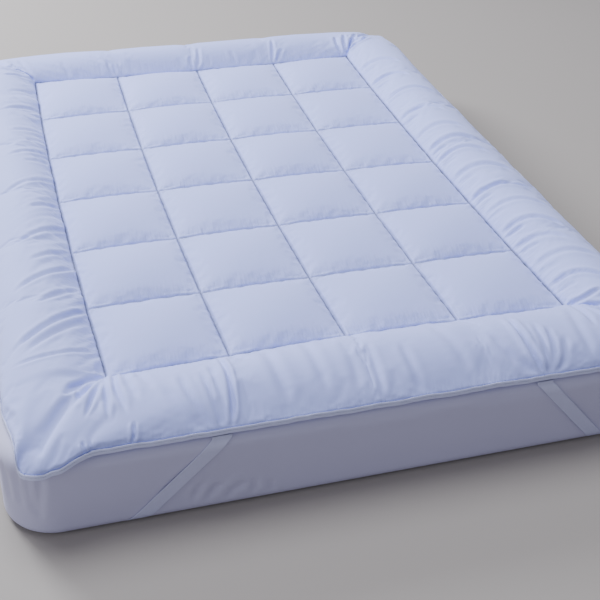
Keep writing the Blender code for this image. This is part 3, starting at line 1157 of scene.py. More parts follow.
@dataclass(frozen=True)
class Crease:
    """A crease pulled into the cover: its points, half width, depth, and its ridges' share of that."""

    points: tuple
    width: float
    depth: float
    ridge: float = 0.4

    def height(self, x: Array, y: Array) -> Array:
        """Height of the crease over plan places.

        Args:
            x: places one way on the cloth.
            y: places the other way.

        Returns:
            The height, negative in the trough.
        """
        line = self._smooth_line()
        lengths = walked(line)
        low, high = line.min(0) - 5 * self.width, line.max(0) + 5 * self.width
        near = (x > low[0]) & (x < high[0]) & (y > low[1]) & (y < high[1])
        result = np.zeros_like(x)
        if not near.any():
            return result
        px, py = x[near], y[near]
        best = np.full(px.shape, math.inf)
        share = np.zeros(px.shape)
        for (start, end), (first, last) in zip(zip(line, line[1:]), zip(lengths, lengths[1:])):
            run = end - start
            span = max(float(run @ run), 1e-12)
            part = np.clip(((px - start[0]) * run[0] + (py - start[1]) * run[1]) / span, 0, 1)
            dx, dy = px - start[0] - part * run[0], py - start[1] - part * run[1]
            away = np.hypot(dx, dy)
            closer = away < best
            best = np.where(closer, away, best)
            share = np.where(closer, (first + part * (last - first)) / lengths[-1], share)
        taper = ease((share + 0.07) / 0.25) * ease((1.04 - share) / 0.24)
        width = self.width * (0.55 + 0.45 * taper)
        ridge = self.ridge * bell(best - 2.0 * width, 1.1 * width)
        result[near] = self.depth * taper * (ridge - bell(best, width))
        return result

    def _smooth_line(self) -> Array:
        """A smooth curve through the plan points.

        Returns:
            Points of the curve.
        """
        points = np.array(self.points, float)
        if len(points) == 2:
            return points
        padded = np.vstack([2 * points[0] - points[1], points, 2 * points[-1] - points[-2]])
        line = []
        for i in range(1, len(padded) - 2):
            for part in np.linspace(0, 1, 8, endpoint=False):
                before, start, end, after = padded[i - 1:i + 3]
                line.append(0.5 * (2 * start + (end - before) * part
                                   + (2 * before - 5 * start + 4 * end - after) * part ** 2
                                   + (3 * start - before - 3 * end + after) * part ** 3))
        line.append(points[-1])
        return np.array(line)


# ---------------------------------------------------------------- the pad

# Rings of the border's underside: inset from the edge, and share of the way to the flat panel's level.
UNDERSIDE_RINGS = ((0.0, 0.0), (0.008, 0.13), (0.014, 0.23), (0.020, 0.33), (0.030, 0.5), (0.060, 1.0))

BELOW_ROW_SEAM = Gather(seed=22, pitch=0.012, reach=0.010, depth=0.0003)
ABOVE_ROW_SEAM = Gather(seed=21, pitch=0.010, reach=0.020, depth=0.0011)
BESIDE_COLUMN_SEAM = Gather(seed=23, pitch=0.016, reach=0.012, depth=0.0004)
LEFT_FINE = Gather(seed=31, pitch=0.011, reach=0.050, depth=0.0022)
LEFT_LONG = Gather(seed=32, pitch=0.024, reach=0.110, depth=0.0027)
RIGHT_SIDE = Gather(seed=34, pitch=0.016, reach=0.030, depth=0.0014)
HEAD_END = Gather(seed=35, pitch=0.016, reach=0.030, depth=0.0014, slant=0.1)
FOOT_END = Gather(seed=36, pitch=0.024, reach=0.045, depth=0.0013, slant=0.1)
ABOVE_TAPE = Gather(seed=41, pitch=0.012, reach=0.014, depth=0.0010)


@dataclass
class FilledPad:
    """The topper's filled pad: the quilted field and the puffed border round it."""

    plan: TopperPlan
    form: PadForm
    settling: ClothSettling = field(default_factory=ClothSettling)
    cell_steps: int = 30
    border_steps: int = 28
    base: float = 0.1703
    floor_panel: float = 0.006
    wall_gap: float = 0.0003
    edge_depth: float = 0.005
    edge_reach: float = 0.004
    groove_depth: float = 0.0052
    groove_width: float = 0.0026
    row_groove_share: float = 0.5
    seam_fade: float = 0.006
    corner_tightness: float = 0.8
    border_cloth: float = 0.222
    pucker_reach: float = 0.030
    short_reach: float = 0.016
    frame_reach: float = 0.045
    tape_reach: float = 0.022
    # Width of the painted shade line along each seam, and its share along the row seams.
    painted_shade_width: float = 0.0019
    row_painted_shade_share: float = 0.60
    field_piece: bpy.types.Object = field(init=False)
    border_piece: bpy.types.Object = field(init=False)
    grid: TopGrid = field(init=False)
    spread: Spread = field(init=False)
    points: Array = field(init=False)

    def build(self) -> None:
        """Form, settle and crease the cover, and close it underneath."""
        coarse = TopGrid(self.plan, self.cell_steps, self.border_steps)
        points = self.form.points(coarse)
        columns, rows = coarse.seam_lines
        at = coarse.spread()
        in_corner = ease(4 * np.minimum(np.abs(at.place_x), np.abs(at.place_y)))
        slack = ease(at.out * 3) * (1 - self.corner_tightness * in_corner)
        points = self.settling.settle(points, self._sewn(points.shape[:2], columns, rows), slack)
        self.grid = TopGrid(self.plan, self.cell_steps * 2, self.border_steps * 2)
        self.spread = self.grid.spread()
        points = halved(halved(points, rows, 0), columns, 1)
        heights = self._fine_heights()
        self.points = points + grid_normals(points) * heights[..., None]
        self._build_field()
        self._build_border()

    @staticmethod
    def _sewn(shape: tuple, columns: Array, rows: Array) -> Array:
        """Which grid points are on a sewn line: the outline, the frame and the cell seams.

        Args:
            shape: rows and columns of the grid.
            columns: numbers of the sewn columns.
            rows: numbers of the sewn rows.

        Returns:
            True on each sewn point.
        """
        sewn = np.zeros(shape, bool)
        sewn[[0, -1], :] = True
        sewn[:, [0, -1]] = True
        sewn[rows[1]:rows[-2] + 1, columns[1:-1]] = True
        for row in rows[1:-1]:
            sewn[row, columns[1]:columns[-2] + 1] = True
        return sewn

    def _fine_heights(self) -> Array:
        """Heights of the gathers, creases and seam grooves over the grid.

        Returns:
            The heights, along the cover's normals.
        """
        at, cloth = self.spread, self.past_frame
        inside, out = at.inside, at.out
        total = np.where(inside, self._cell_gathers(), 0.0)
        total += np.where(inside, 0.0, self._border_gathers())
        cloth_x, cloth_y = at.x + at.place_x * self.border_cloth, at.y + at.place_y * self.border_cloth
        for crease in pad_creases():
            total += crease.height(cloth_x, cloth_y) * ease(np.where(inside, 1.0, cloth / self.seam_fade))
        total = np.where(out >= 1, 0.0, total * ease((1 - out) * self.border_cloth / self.seam_fade))
        return total - self._groove()

    @property
    def past_frame(self) -> Array:
        """Distance of each point from the frame seam, along the border's cloth."""
        return self.spread.out * self.border_cloth

    def _seam_distances(self) -> tuple[Array, Array]:
        """Signed distances to the nearest column seam and to the nearest row seam.

        Returns:
            Both distances.
        """
        column, row = self.plan.cells(self.spread.x, self.spread.y)
        to_column = (column - np.round(column)) * self.plan.cell_width
        return to_column, (row - np.round(row)) * self.plan.cell_length

    def _cell_gathers(self) -> Array:
        """Puckers beside the seams of the quilted field.

        Returns:
            Their height.
        """
        x, y = self.spread.x, self.spread.y
        to_column, to_row = self._seam_distances()
        column_number, row_number = (np.round(count) for count in self.plan.cells(x, y))
        total = ABOVE_ROW_SEAM.height(x + row_number * 3.7, to_row)
        total += BELOW_ROW_SEAM.height(x + row_number * 5.1, -to_row)
        total += BESIDE_COLUMN_SEAM.height(y + column_number * 4.3, np.abs(to_column))
        ends = ease(np.abs(to_column) / 0.02)
        return total * (0.4 + 0.6 * ends)

    def _border_gathers(self) -> Array:
        """Puckers of the border beside the frame seam and above the tape.

        Returns:
            Their height.
        """
        at, cloth = self.spread, self.past_frame
        x, y, place_x, place_y = at.x, at.y, at.place_x, at.place_y
        left, right = place_x < 0, place_x > 0
        foot, head = place_y < 0, place_y > 0
        beside, ends = place_y == 0, place_x == 0
        slant = 0.78 - 0.30 * y / self.plan.frame_length
        along_y = y + cloth * slant
        total = np.where(left & beside, LEFT_FINE.height(along_y, cloth), 0.0)
        total += np.where(left & beside, LEFT_LONG.height(along_y, cloth), 0.0)
        total += np.where(right & beside, RIGHT_SIDE.height(y, cloth), 0.0)
        total += np.where(head & ends, HEAD_END.height(x, cloth), 0.0)
        total += np.where(foot & ends, FOOT_END.height(x, cloth), 0.0)
        from_tape = self.border_cloth - cloth
        walk = np.where(at.sideways, y, x)
        return total + ABOVE_TAPE.height(walk + 0.2 * place_x, from_tape)

    def _along_seams(self, width: float, row_share: float) -> Array:
        """A line of a given width along each seam, fainter along the row seams.

        Args:
            width: how far the line reaches from its seam.
            row_share: its share along the row seams.

        Returns:
            The line's strength, 1 on a column seam.
        """
        to_column, to_row = self._seam_distances()
        inside, cloth = self.spread.inside, self.past_frame
        by_column = bell(np.where(inside, to_column, cloth), width)
        by_row = row_share * bell(np.where(inside, to_row, cloth), width)
        return np.maximum(by_column, by_row)

    def _groove(self) -> Array:
        """Depth of the narrow groove that the stitches pull along each seam."""
        return self.groove_depth * self._along_seams(self.groove_width, self.row_groove_share)

    def _build_field(self) -> None:
        """Close the quilted field with a wall down to a flat underside."""
        first = self.border_steps * 2
        part = self.points[first:-first, first:-first].copy()
        numbers = numbered(*part.shape[:2])
        rim = rim_of(numbers)
        points = part.reshape(-1, 3)
        wall = points[rim].copy()
        wall[:, :2] *= 1.0 - self.wall_gap
        wall[:, 2] = self.base + self.floor_panel + self.wall_gap
        base_ring = list(range(len(points), len(points) + len(rim)))
        faces = grid_faces(numbers) + ring_faces(rim, base_ring) + [base_ring]
        self.field_piece = add_mesh("quilted_field", np.vstack([points, wall]), faces)
        face_outward(self.field_piece)
        for name, values in self._seam_marks().items():
            kept = values[first:-first, first:-first].ravel()
            store(self.field_piece, name, np.concatenate([kept, np.zeros(len(wall))]))

    def _seam_marks(self) -> dict:
        """How strongly fine puckers and the painted shade along the seams show, over the grid.

        Returns:
            The numbers of each, by their attribute's name.
        """
        to_column, to_row = self._seam_distances()
        inside, sideways, cloth = self.spread.inside, self.spread.sideways, self.past_frame

        def fading(away: Array, reach: Array | float) -> Array:
            """A share that fades out round a distance."""
            return np.exp(-(away / reach) ** 1.5)

        by_row = fading(np.abs(to_row), np.where(to_row > 0, self.pucker_reach, self.short_reach))
        by_column = 0.6 * fading(np.abs(to_column), self.short_reach)
        near = fading(cloth, self.frame_reach) + 0.7 * fading(self.border_cloth - cloth, self.tape_reach)
        return {
            "row_pucker": np.where(inside, by_row, near * ~sideways),
            "column_pucker": np.where(inside, by_column, near * sideways),
            # The seam mark is painted shade: it darkens the cover's colour along the seams.
            "seam": self._along_seams(self.painted_shade_width, self.row_painted_shade_share),
        }

    def _build_border(self) -> None:
        """Close the border with its inner wall, the bottom panel and the drawn-in edge."""
        count_y, count_x = self.points.shape[:2]
        first = self.border_steps * 2
        numbers = numbered(count_y, count_x)
        faces = [face for block in (
            numbers[:first + 1, :],
            numbers[-first - 1:, :],
            numbers[first:-first, :first + 1],
            numbers[first:-first, -first - 1:],
        ) for face in grid_faces(block)]
        points = [self.points.reshape(-1, 3)]
        total = count_y * count_x

        def add_ring(ring: Array) -> list:
            """Add a ring of points and return their numbers.

            Args:
                ring: the points.

            Returns:
                Their numbers.
            """
            nonlocal total
            points.append(ring)
            total += len(ring)
            return list(range(total - len(ring), total))

        inner = rim_of(numbers[first:-first, first:-first])
        inner_wall = points[0][inner].copy()
        inner_wall[:, 2] = self.base + self.floor_panel
        inner_ring = add_ring(inner_wall)
        faces += ring_faces(inner_ring, inner) + [inner_ring[::-1]]
        outer = rim_of(numbers)
        last = outer
        seam = points[0][outer].copy()
        for inset, share in UNDERSIDE_RINGS:
            ring = seam.copy()
            ring[:, 0] *= 1 - inset / self.plan.half_width
            ring[:, 1] *= 1 - inset / self.plan.half_length
            ring[:, 2] = self._underside(ring, seam[:, 2] - self.form.edge_top, share)
            numbers_of_ring = add_ring(ring)
            faces += ring_faces(last, numbers_of_ring)
            last = numbers_of_ring
        faces.append(last)
        used = sorted({number for face in faces for number in face})
        renumber = {number: index for index, number in enumerate(used)}
        kept = np.vstack(points)[used]
        faces = [[renumber[number] for number in face] for face in faces]
        self.border_piece = add_mesh("puffed_border", kept, faces)
        face_outward(self.border_piece)
        spare = np.zeros(total - self.points[..., 0].size)
        for name, values in self._seam_marks().items():
            store(self.border_piece, name, np.concatenate([values.ravel(), spare])[used])

    def _underside(self, ring: Array, seam_height: Array, share: float) -> Array:
        """Heights of a ring of the underside at a share of the way in from the edge.

        Args:
            ring: points of the ring.
            seam_height: height of the edge seam beside them.
            share: share of the way.

        Returns:
            The heights.
        """
        height = (seam_height - self.edge_depth) * (1 - share) + self.base * share
        if share >= 1.0:
            return height
        inside = self.plan.mattress.inside(ring[:, 0], ring[:, 1])
        surface = self.plan.mattress.top(inside + self.edge_reach)
        return np.maximum(height, surface + self.plan.clearance)

    def dress(self, cover: bpy.types.Material) -> None:
        """Args:
            cover: the cover's material.
        """
        for piece in (self.field_piece, self.border_piece):
            dress(piece, cover, Slot.COVER, "topper_pad")


def pad_creases() -> list:
    """All the creases of the pad's cover, in metres on the unrolled cloth."""
    ends = strap_creases() + foot_creases() + corner_creases() + head_border_creases()
    return ends + left_border_creases() + right_border_creases()


def strap_creases() -> list:
    """Creases that fan in to the places where the two foot straps pull.

    Returns:
        The creases.
    """
    return [
        Crease(((-0.268, -0.765), (-0.264, -0.845), (-0.268, -0.904), (-0.278, -0.953)), 0.0044, 0.0058, 0.7),
        Crease(((-0.292, -0.800), (-0.290, -0.860), (-0.288, -0.955)), 0.0045, 0.0035, 0.5),
        Crease(((-0.312, -0.830), (-0.303, -0.885), (-0.294, -0.955)), 0.0050, 0.0045, 0.6),
        Crease(((-0.352, -0.818), (-0.340, -0.886), (-0.308, -0.954)), 0.0060, 0.0045, 0.5),
        Crease(((-0.385, -0.850), (-0.360, -0.905), (-0.322, -0.955)), 0.0080, 0.0030, 0.3),
        Crease(((0.318, -0.800), (0.326, -0.870), (0.335, -0.918), (0.349, -0.953)), 0.0050, 0.0065, 0.9),
        Crease(((0.361, -0.830), (0.362, -0.886), (0.353, -0.954)), 0.0045, 0.0045, 0.7),
        Crease(((0.384, -0.850), (0.376, -0.905), (0.357, -0.954)), 0.0050, 0.0040, 0.6),
        Crease(((0.262, -0.850), (0.290, -0.905), (0.335, -0.952)), 0.0080, 0.0035, 0.4),
        Crease(((0.410, -0.880), (0.394, -0.925), (0.366, -0.954)), 0.0060, 0.0030, 0.4),
    ]


def foot_creases() -> list:
    """Long soft creases down the foot border, and the notch at its tape.

    Returns:
        The creases.
    """
    return [
        Crease(((-0.178, -0.770), (-0.174, -0.850), (-0.162, -0.930)), 0.0100, 0.0040, 0.4),
        Crease(((-0.098, -0.765), (-0.095, -0.841), (-0.088, -0.915)), 0.0090, 0.0034, 0.4),
        Crease(((-0.030, -0.800), (-0.026, -0.865), (-0.030, -0.925)), 0.0090, 0.0024, 0.3),
        Crease(((0.016, -0.825), (0.016, -0.895), (0.014, -0.945)), 0.0064, 0.0030, 0.4),
        Crease(((0.080, -0.840), (0.086, -0.900), (0.091, -0.950)), 0.0070, 0.0032, 0.4),
        Crease(((0.160, -0.790), (0.182, -0.860), (0.196, -0.925)), 0.0100, 0.0026, 0.3),
        Crease(((0.455, -0.800), (0.450, -0.870), (0.452, -0.930)), 0.0090, 0.0026, 0.3),
        Crease(((-0.457, -0.956), (-0.453, -0.938), (-0.449, -0.912)), 0.0032, 0.0048, 0.6),
        Crease(((-0.552, -0.957), (-0.556, -0.940), (-0.560, -0.925)), 0.0034, 0.0040, 0.6),
        Crease(((-0.538, -0.957), (-0.540, -0.945), (-0.540, -0.930)), 0.0030, 0.0030, 0.5),
        Crease(((-0.240, -0.742), (-0.232, -0.775), (-0.216, -0.805)), 0.0070, 0.0028, 0.4),
        Crease(((0.005, -0.742), (0.010, -0.772), (0.014, -0.805)), 0.0080, 0.0020, 0.3),
    ]


def corner_creases() -> list:
    """Folds that radiate from the inner corners of the frame seam.

    Returns:
        The creases.
    """
    foot_left = [
        Crease(((-0.486, -0.742), (-0.525, -0.795), (-0.574, -0.850)), 0.0065, 0.0048, 0.6),
        Crease(((-0.484, -0.748), (-0.508, -0.815), (-0.545, -0.878)), 0.0060, 0.0042, 0.6),
        Crease(((-0.481, -0.750), (-0.489, -0.825), (-0.494, -0.895)), 0.0052, 0.0044, 0.6),
        Crease(((-0.468, -0.748), (-0.469, -0.820), (-0.458, -0.890)), 0.0052, 0.0040, 0.6),
        Crease(((-0.448, -0.748), (-0.444, -0.815), (-0.434, -0.868)), 0.0060, 0.0034, 0.5),
        Crease(((-0.425, -0.748), (-0.418, -0.800), (-0.402, -0.850)), 0.0070, 0.0026, 0.4),
        Crease(((-0.488, -0.735), (-0.530, -0.768), (-0.575, -0.796)), 0.0060, 0.0038, 0.5),
    ]
    foot_right = [
        Crease(((0.486, -0.737), (0.522, -0.745), (0.570, -0.742)), 0.0055, 0.0045, 0.6),
        Crease(((0.485, -0.742), (0.515, -0.765), (0.560, -0.785)), 0.0055, 0.0045, 0.6),
        Crease(((0.484, -0.748), (0.505, -0.790), (0.530, -0.840)), 0.0060, 0.0040, 0.5),
        Crease(((0.478, -0.748), (0.484, -0.800), (0.490, -0.860)), 0.0060, 0.0034, 0.5),
    ]
    head = [
        Crease(((0.486, 0.741), (0.530, 0.765), (0.600, 0.806)), 0.0060, 0.0060, 0.6),
        Crease(((0.486, 0.744), (0.515, 0.785), (0.562, 0.850)), 0.0060, 0.0055, 0.6),
        Crease(((0.482, 0.746), (0.490, 0.795), (0.512, 0.850)), 0.0060, 0.0050, 0.6),
        Crease(((0.466, 0.746), (0.462, 0.790), (0.470, 0.835)), 0.0055, 0.0045, 0.5),
        Crease(((-0.485, 0.742), (-0.512, 0.768), (-0.548, 0.782), (-0.600, 0.800)), 0.0050, 0.0070, 0.7),
        Crease(((-0.482, 0.746), (-0.498, 0.790), (-0.520, 0.850)), 0.0070, 0.0030, 0.4),
        Crease(((-0.488, 0.730), (-0.530, 0.728), (-0.580, 0.715)), 0.0060, 0.0034, 0.5),
    ]
    return foot_left + foot_right + head


def left_border_creases() -> list:
    """Long slanting creases that sweep over the left border towards the foot.

    Returns:
        The creases.
    """
    by_corner = ((-0.490, -0.655), (-0.554, -0.685), (-0.603, -0.696), (-0.660, -0.698))
    creases = [Crease(by_corner, 0.0040, 0.0030, 0.4)]
    sweeps = ((-0.506, 0.170, 0.0052), (-0.543, 0.150, 0.0036), (-0.420, 0.110, 0.0030),
              (-0.330, 0.150, 0.0040), (-0.255, 0.110, 0.0028), (-0.150, 0.140, 0.0030),
              (-0.032, 0.090, 0.0024), (0.098, 0.140, 0.0026), (0.206, 0.080, 0.0020),
              (0.262, 0.120, 0.0026), (0.390, 0.100, 0.0024), (0.540, 0.130, 0.0026),
              (0.646, 0.090, 0.0022))
    for start, reach, depth in sweeps:
        slant = 0.84 - 0.30 * start
        points = tuple((-0.486 - reach * part, start - slant * reach * (part - 0.12 * part ** 2))
                       for part in (0.0, 0.33, 0.66, 1.0))
        creases.append(Crease(points, 0.0056, depth, 0.5))
    return creases


def right_border_creases() -> list:
    """Curved creases that cross the right border and turn towards the foot at its outer side.

    Returns:
        The creases.
    """
    draw = np.random.default_rng(71)
    places = (0.600, 0.491, 0.369, 0.243, 0.122, 0.040, -0.025,
              -0.133, -0.247, -0.330, -0.420, -0.497, -0.581, -0.660)
    creases = []
    for place in places:
        reach = 0.115 + 0.05 * draw.random()
        bend = 0.7 + 0.6 * draw.random()
        points = tuple((0.486 + reach * part, place + bend * (0.006 * part - 0.052 * part ** 3))
                       for part in (0.0, 0.3, 0.6, 0.85, 1.0))
        creases.append(Crease(points, 0.0055 + 0.0025 * draw.random(), 0.0034 + 0.0024 * draw.random(), 0.6))
        small = place - 0.035 + 0.02 * draw.random()
        points = tuple((0.488 + 0.05 * part, small - 0.006 * part ** 2) for part in (0.0, 0.5, 1.0))
        creases.append(Crease(points, 0.0045, 0.0024, 0.4))
    return creases


def head_border_creases() -> list:
    """Short creases of the head border at the ends of the column seams.

    Returns:
        The creases.
    """
    return [
        Crease(((-0.243, 0.742), (-0.246, 0.770), (-0.268, 0.806)), 0.0050, 0.0030, 0.5),
        Crease(((-0.250, 0.742), (-0.258, 0.765), (-0.262, 0.790)), 0.0045, 0.0034, 0.5),
        Crease(((0.002, 0.742), (0.014, 0.775), (0.024, 0.830)), 0.0050, 0.0030, 0.5),
        Crease(((-0.012, 0.742), (-0.014, 0.765), (-0.006, 0.795)), 0.0050, 0.0034, 0.5),
        Crease(((0.240, 0.742), (0.250, 0.785), (0.262, 0.840)), 0.0045, 0.0036, 0.5),
        Crease(((0.254, 0.742), (0.266, 0.765), (0.282, 0.790)), 0.0050, 0.0036, 0.5),
        Crease(((0.120, 0.742), (0.122, 0.770), (0.116, 0.800)), 0.0055, 0.0028, 0.4),
        Crease(((-0.380, 0.742), (-0.384, 0.775), (-0.394, 0.810)), 0.0060, 0.0026, 0.4),
    ]


# ---------------------------------------------------------------- tape, thread and straps

@dataclass
class EdgeTape:
    """The tape folded over the edge seam, all the way round."""

    plan: TopperPlan
    step: float = 0.006
    cloth: float = 0.0009
    flat_width: float = 0.027
    cut_edge: float = 0.0004
    wobble: float = 0.0006
    piece: bpy.types.Object = field(init=False)
    length: float = field(init=False)

    def seam(self) -> Array:
        """Middle of the tape round the topper, with its own small waves.

        Returns:
            Points of the closed seam.
        """
        places = self.plan.outline(self.step)
        seam = self.plan.edge(places[:, 0], places[:, 1])
        walk = walked(seam)
        seam[:, 2] += 0.0013 * Unevenness(51).at(walk / 0.050) + 0.0007 * Unevenness(53).at(walk / 0.016)
        return seam

    @staticmethod
    def outward(seam: Array) -> Array:
        """Plan direction out of the closed seam at each point.

        Args:
            seam: points of the seam.

        Returns:
            The unit directions.
        """
        run = np.roll(seam, -1, axis=0) - np.roll(seam, 1, axis=0)
        normal = np.stack([run[:, 1], -run[:, 0], np.zeros(len(seam))], -1)
        return normal / np.linalg.norm(normal, axis=1, keepdims=True)

    def section(self) -> list:
        """Closed section of the folded tape: outward and upward from the seam's middle.

        Returns:
            Its corners, each a reach outward and a height.
        """
        near, far = self.plan.gap, self.plan.gap + self.plan.tape_thickness
        half, cloth = self.plan.tape_height / 2, self.cloth
        middle = (near + far) / 2
        bend = (far - near) / 2
        outer = [(far - self.cut_edge, half), (far, half * 0.5), (far, -half * 0.3)]
        outer += [(middle + bend * math.cos(turn), -half + bend + bend * math.sin(turn))
                  for turn in (-0.4, -1.0, -1.57, -2.1, -2.7)]
        outer += [(near, -half * 0.3), (near, half * 0.8)]
        back = [(near + cloth, half * 0.8), (near + cloth, -half + bend)]
        back += [(middle, -half + cloth), (far - cloth, -half + bend)]
        back += [(far - cloth, half * 0.5), (far - cloth - self.cut_edge, half)]
        return outer + back

    def build(self) -> None:
        """Sweep the folded section round the seam."""
        seam = self.seam()
        out = self.outward(seam)
        section = self.section()
        count, sides = len(seam), len(section)
        walk = walked(seam)
        wobble = self.wobble * Unevenness(52).at(walk / 0.011)
        points = np.concatenate([
            seam + out * (reach + wobble * (up > 0))[:, None] + np.array([0.0, 0.0, up])
            for reach, up in ((np.full(count, r), u) for r, u in section)
        ]).reshape(sides, count, 3)
        numbers = numbered(sides, count)
        faces = tube_faces(np.vstack([numbers, numbers[:1]]))
        self.piece = add_mesh("folded_edge_tape", points.reshape(-1, 3), faces)
        layer = self.piece.data.uv_layers.new(name="cloth")
        lengths = walked(np.array(section))
        for loop in self.piece.data.loops:
            side, place = divmod(loop.vertex_index, count)
            layer.data[loop.index].uv = (walk[place], lengths[side])
        face_outward(self.piece)
        self.length = float(walk[-1])

    def dress(self, tape: bpy.types.Material) -> None:
        dress(self.piece, tape, Slot.TAPE, "edge_binding")


@dataclass
class Stitching:
    """Rows of thread stitches along the pad's seams and the tape."""

    pad: FilledPad
    tape: EdgeTape
    pitch: float = 0.0042
    length: float = 0.0031
    thickness: float = 0.0005
    end_share: float = 0.35
    lift: float = 0.9
    over_tape: float = 0.001
    piece: bpy.types.Object = field(init=False)

    def lines(self) -> list:
        """Polylines that the stitches follow.

        Returns:
            The lines, each an array of points.
        """
        grid = self.pad.grid
        columns, rows = grid.seam_lines
        points = self.pad.points
        lines = [points[rows[1]:rows[-2] + 1, column] for column in columns[1:-1]]
        lines += [points[row, columns[1]:columns[-2] + 1] for row in rows[1:-1]]
        seam = self.tape.seam()
        offset = self.tape.outward(seam) * (self.tape.plan.gap + self.tape.plan.tape_thickness)
        sewn = seam + offset
        sewn[:, 2] += self.over_tape
        lines.append(np.vstack([sewn, sewn[:1]]))
        return lines

    def build(self) -> None:
        """Lay a short rounded stitch at each pitch of each line."""
        points, faces = [], []
        for line in self.lines():
            walk = walked(line)
            starts = np.arange(self.pitch, walk[-1] - self.pitch, self.pitch)
            ends = [np.stack([np.interp(starts + shift, walk, line[:, axis]) for axis in range(3)], -1)
                    for shift in (0.0, self.length)]
            for start, end in zip(*ends):
                self._stitch(start, end, points, faces)
        self.piece = add_mesh("seam_stitches", np.array(points), faces)
        face_outward(self.piece)

    def _stitch(self, start: Array, end: Array, points: list, faces: list) -> None:
        """Add one stitch: a short four-sided bar, thinner at its ends.

        Args:
            start: its first end.
            end: its other end.
            points: the list of points to add to.
            faces: the list of faces to add to.
        """
        run = end - start
        run = run / max(np.linalg.norm(run), 1e-9)
        side = np.cross(run, (0.0, 0.0, 1.0))
        side = side / max(np.linalg.norm(side), 1e-9) * self.thickness
        up = np.cross(side, run)
        base = len(points)
        middle = (start + end) / 2 + up * self.lift
        for centre, size in ((start, self.end_share), (middle, 1.0), (end, self.end_share)):
            points.extend(centre + way * size for way in (side, up, -side, -up))
        first, second, last = (tuple(range(base + ring, base + ring + 4)) for ring in (0, 4, 8))
        faces.extend(ring_faces(first, second) + ring_faces(second, last) + [first, last])

    def dress(self, thread: bpy.types.Material) -> None:
        """Give the stitches their thread."""
        dress(self.piece, thread, Slot.TAPE)


@dataclass(frozen=True)
class StrapRoute:
    """Where one strap runs: its corner, where it turns under the end, and its slope there."""

    node: str
    side: int
    end: int
    turn: float
    slope: float


STRAP_ROUTES = (
    StrapRoute("strap_front_left", -1, -1, 0.474, 1.03),
    StrapRoute("strap_front_right", 1, -1, 0.495, 0.86),
    StrapRoute("strap_back_left", -1, 1, 0.485, 1.00),
    StrapRoute("strap_back_right", 1, 1, 0.485, 1.00),
)


@dataclass(frozen=True)
class Band:
    """Section of a strap or its dent: width, gap to the mattress, depth, and places from -1 to 1."""

    width: float
    near: float
    depth: float
    across: Array


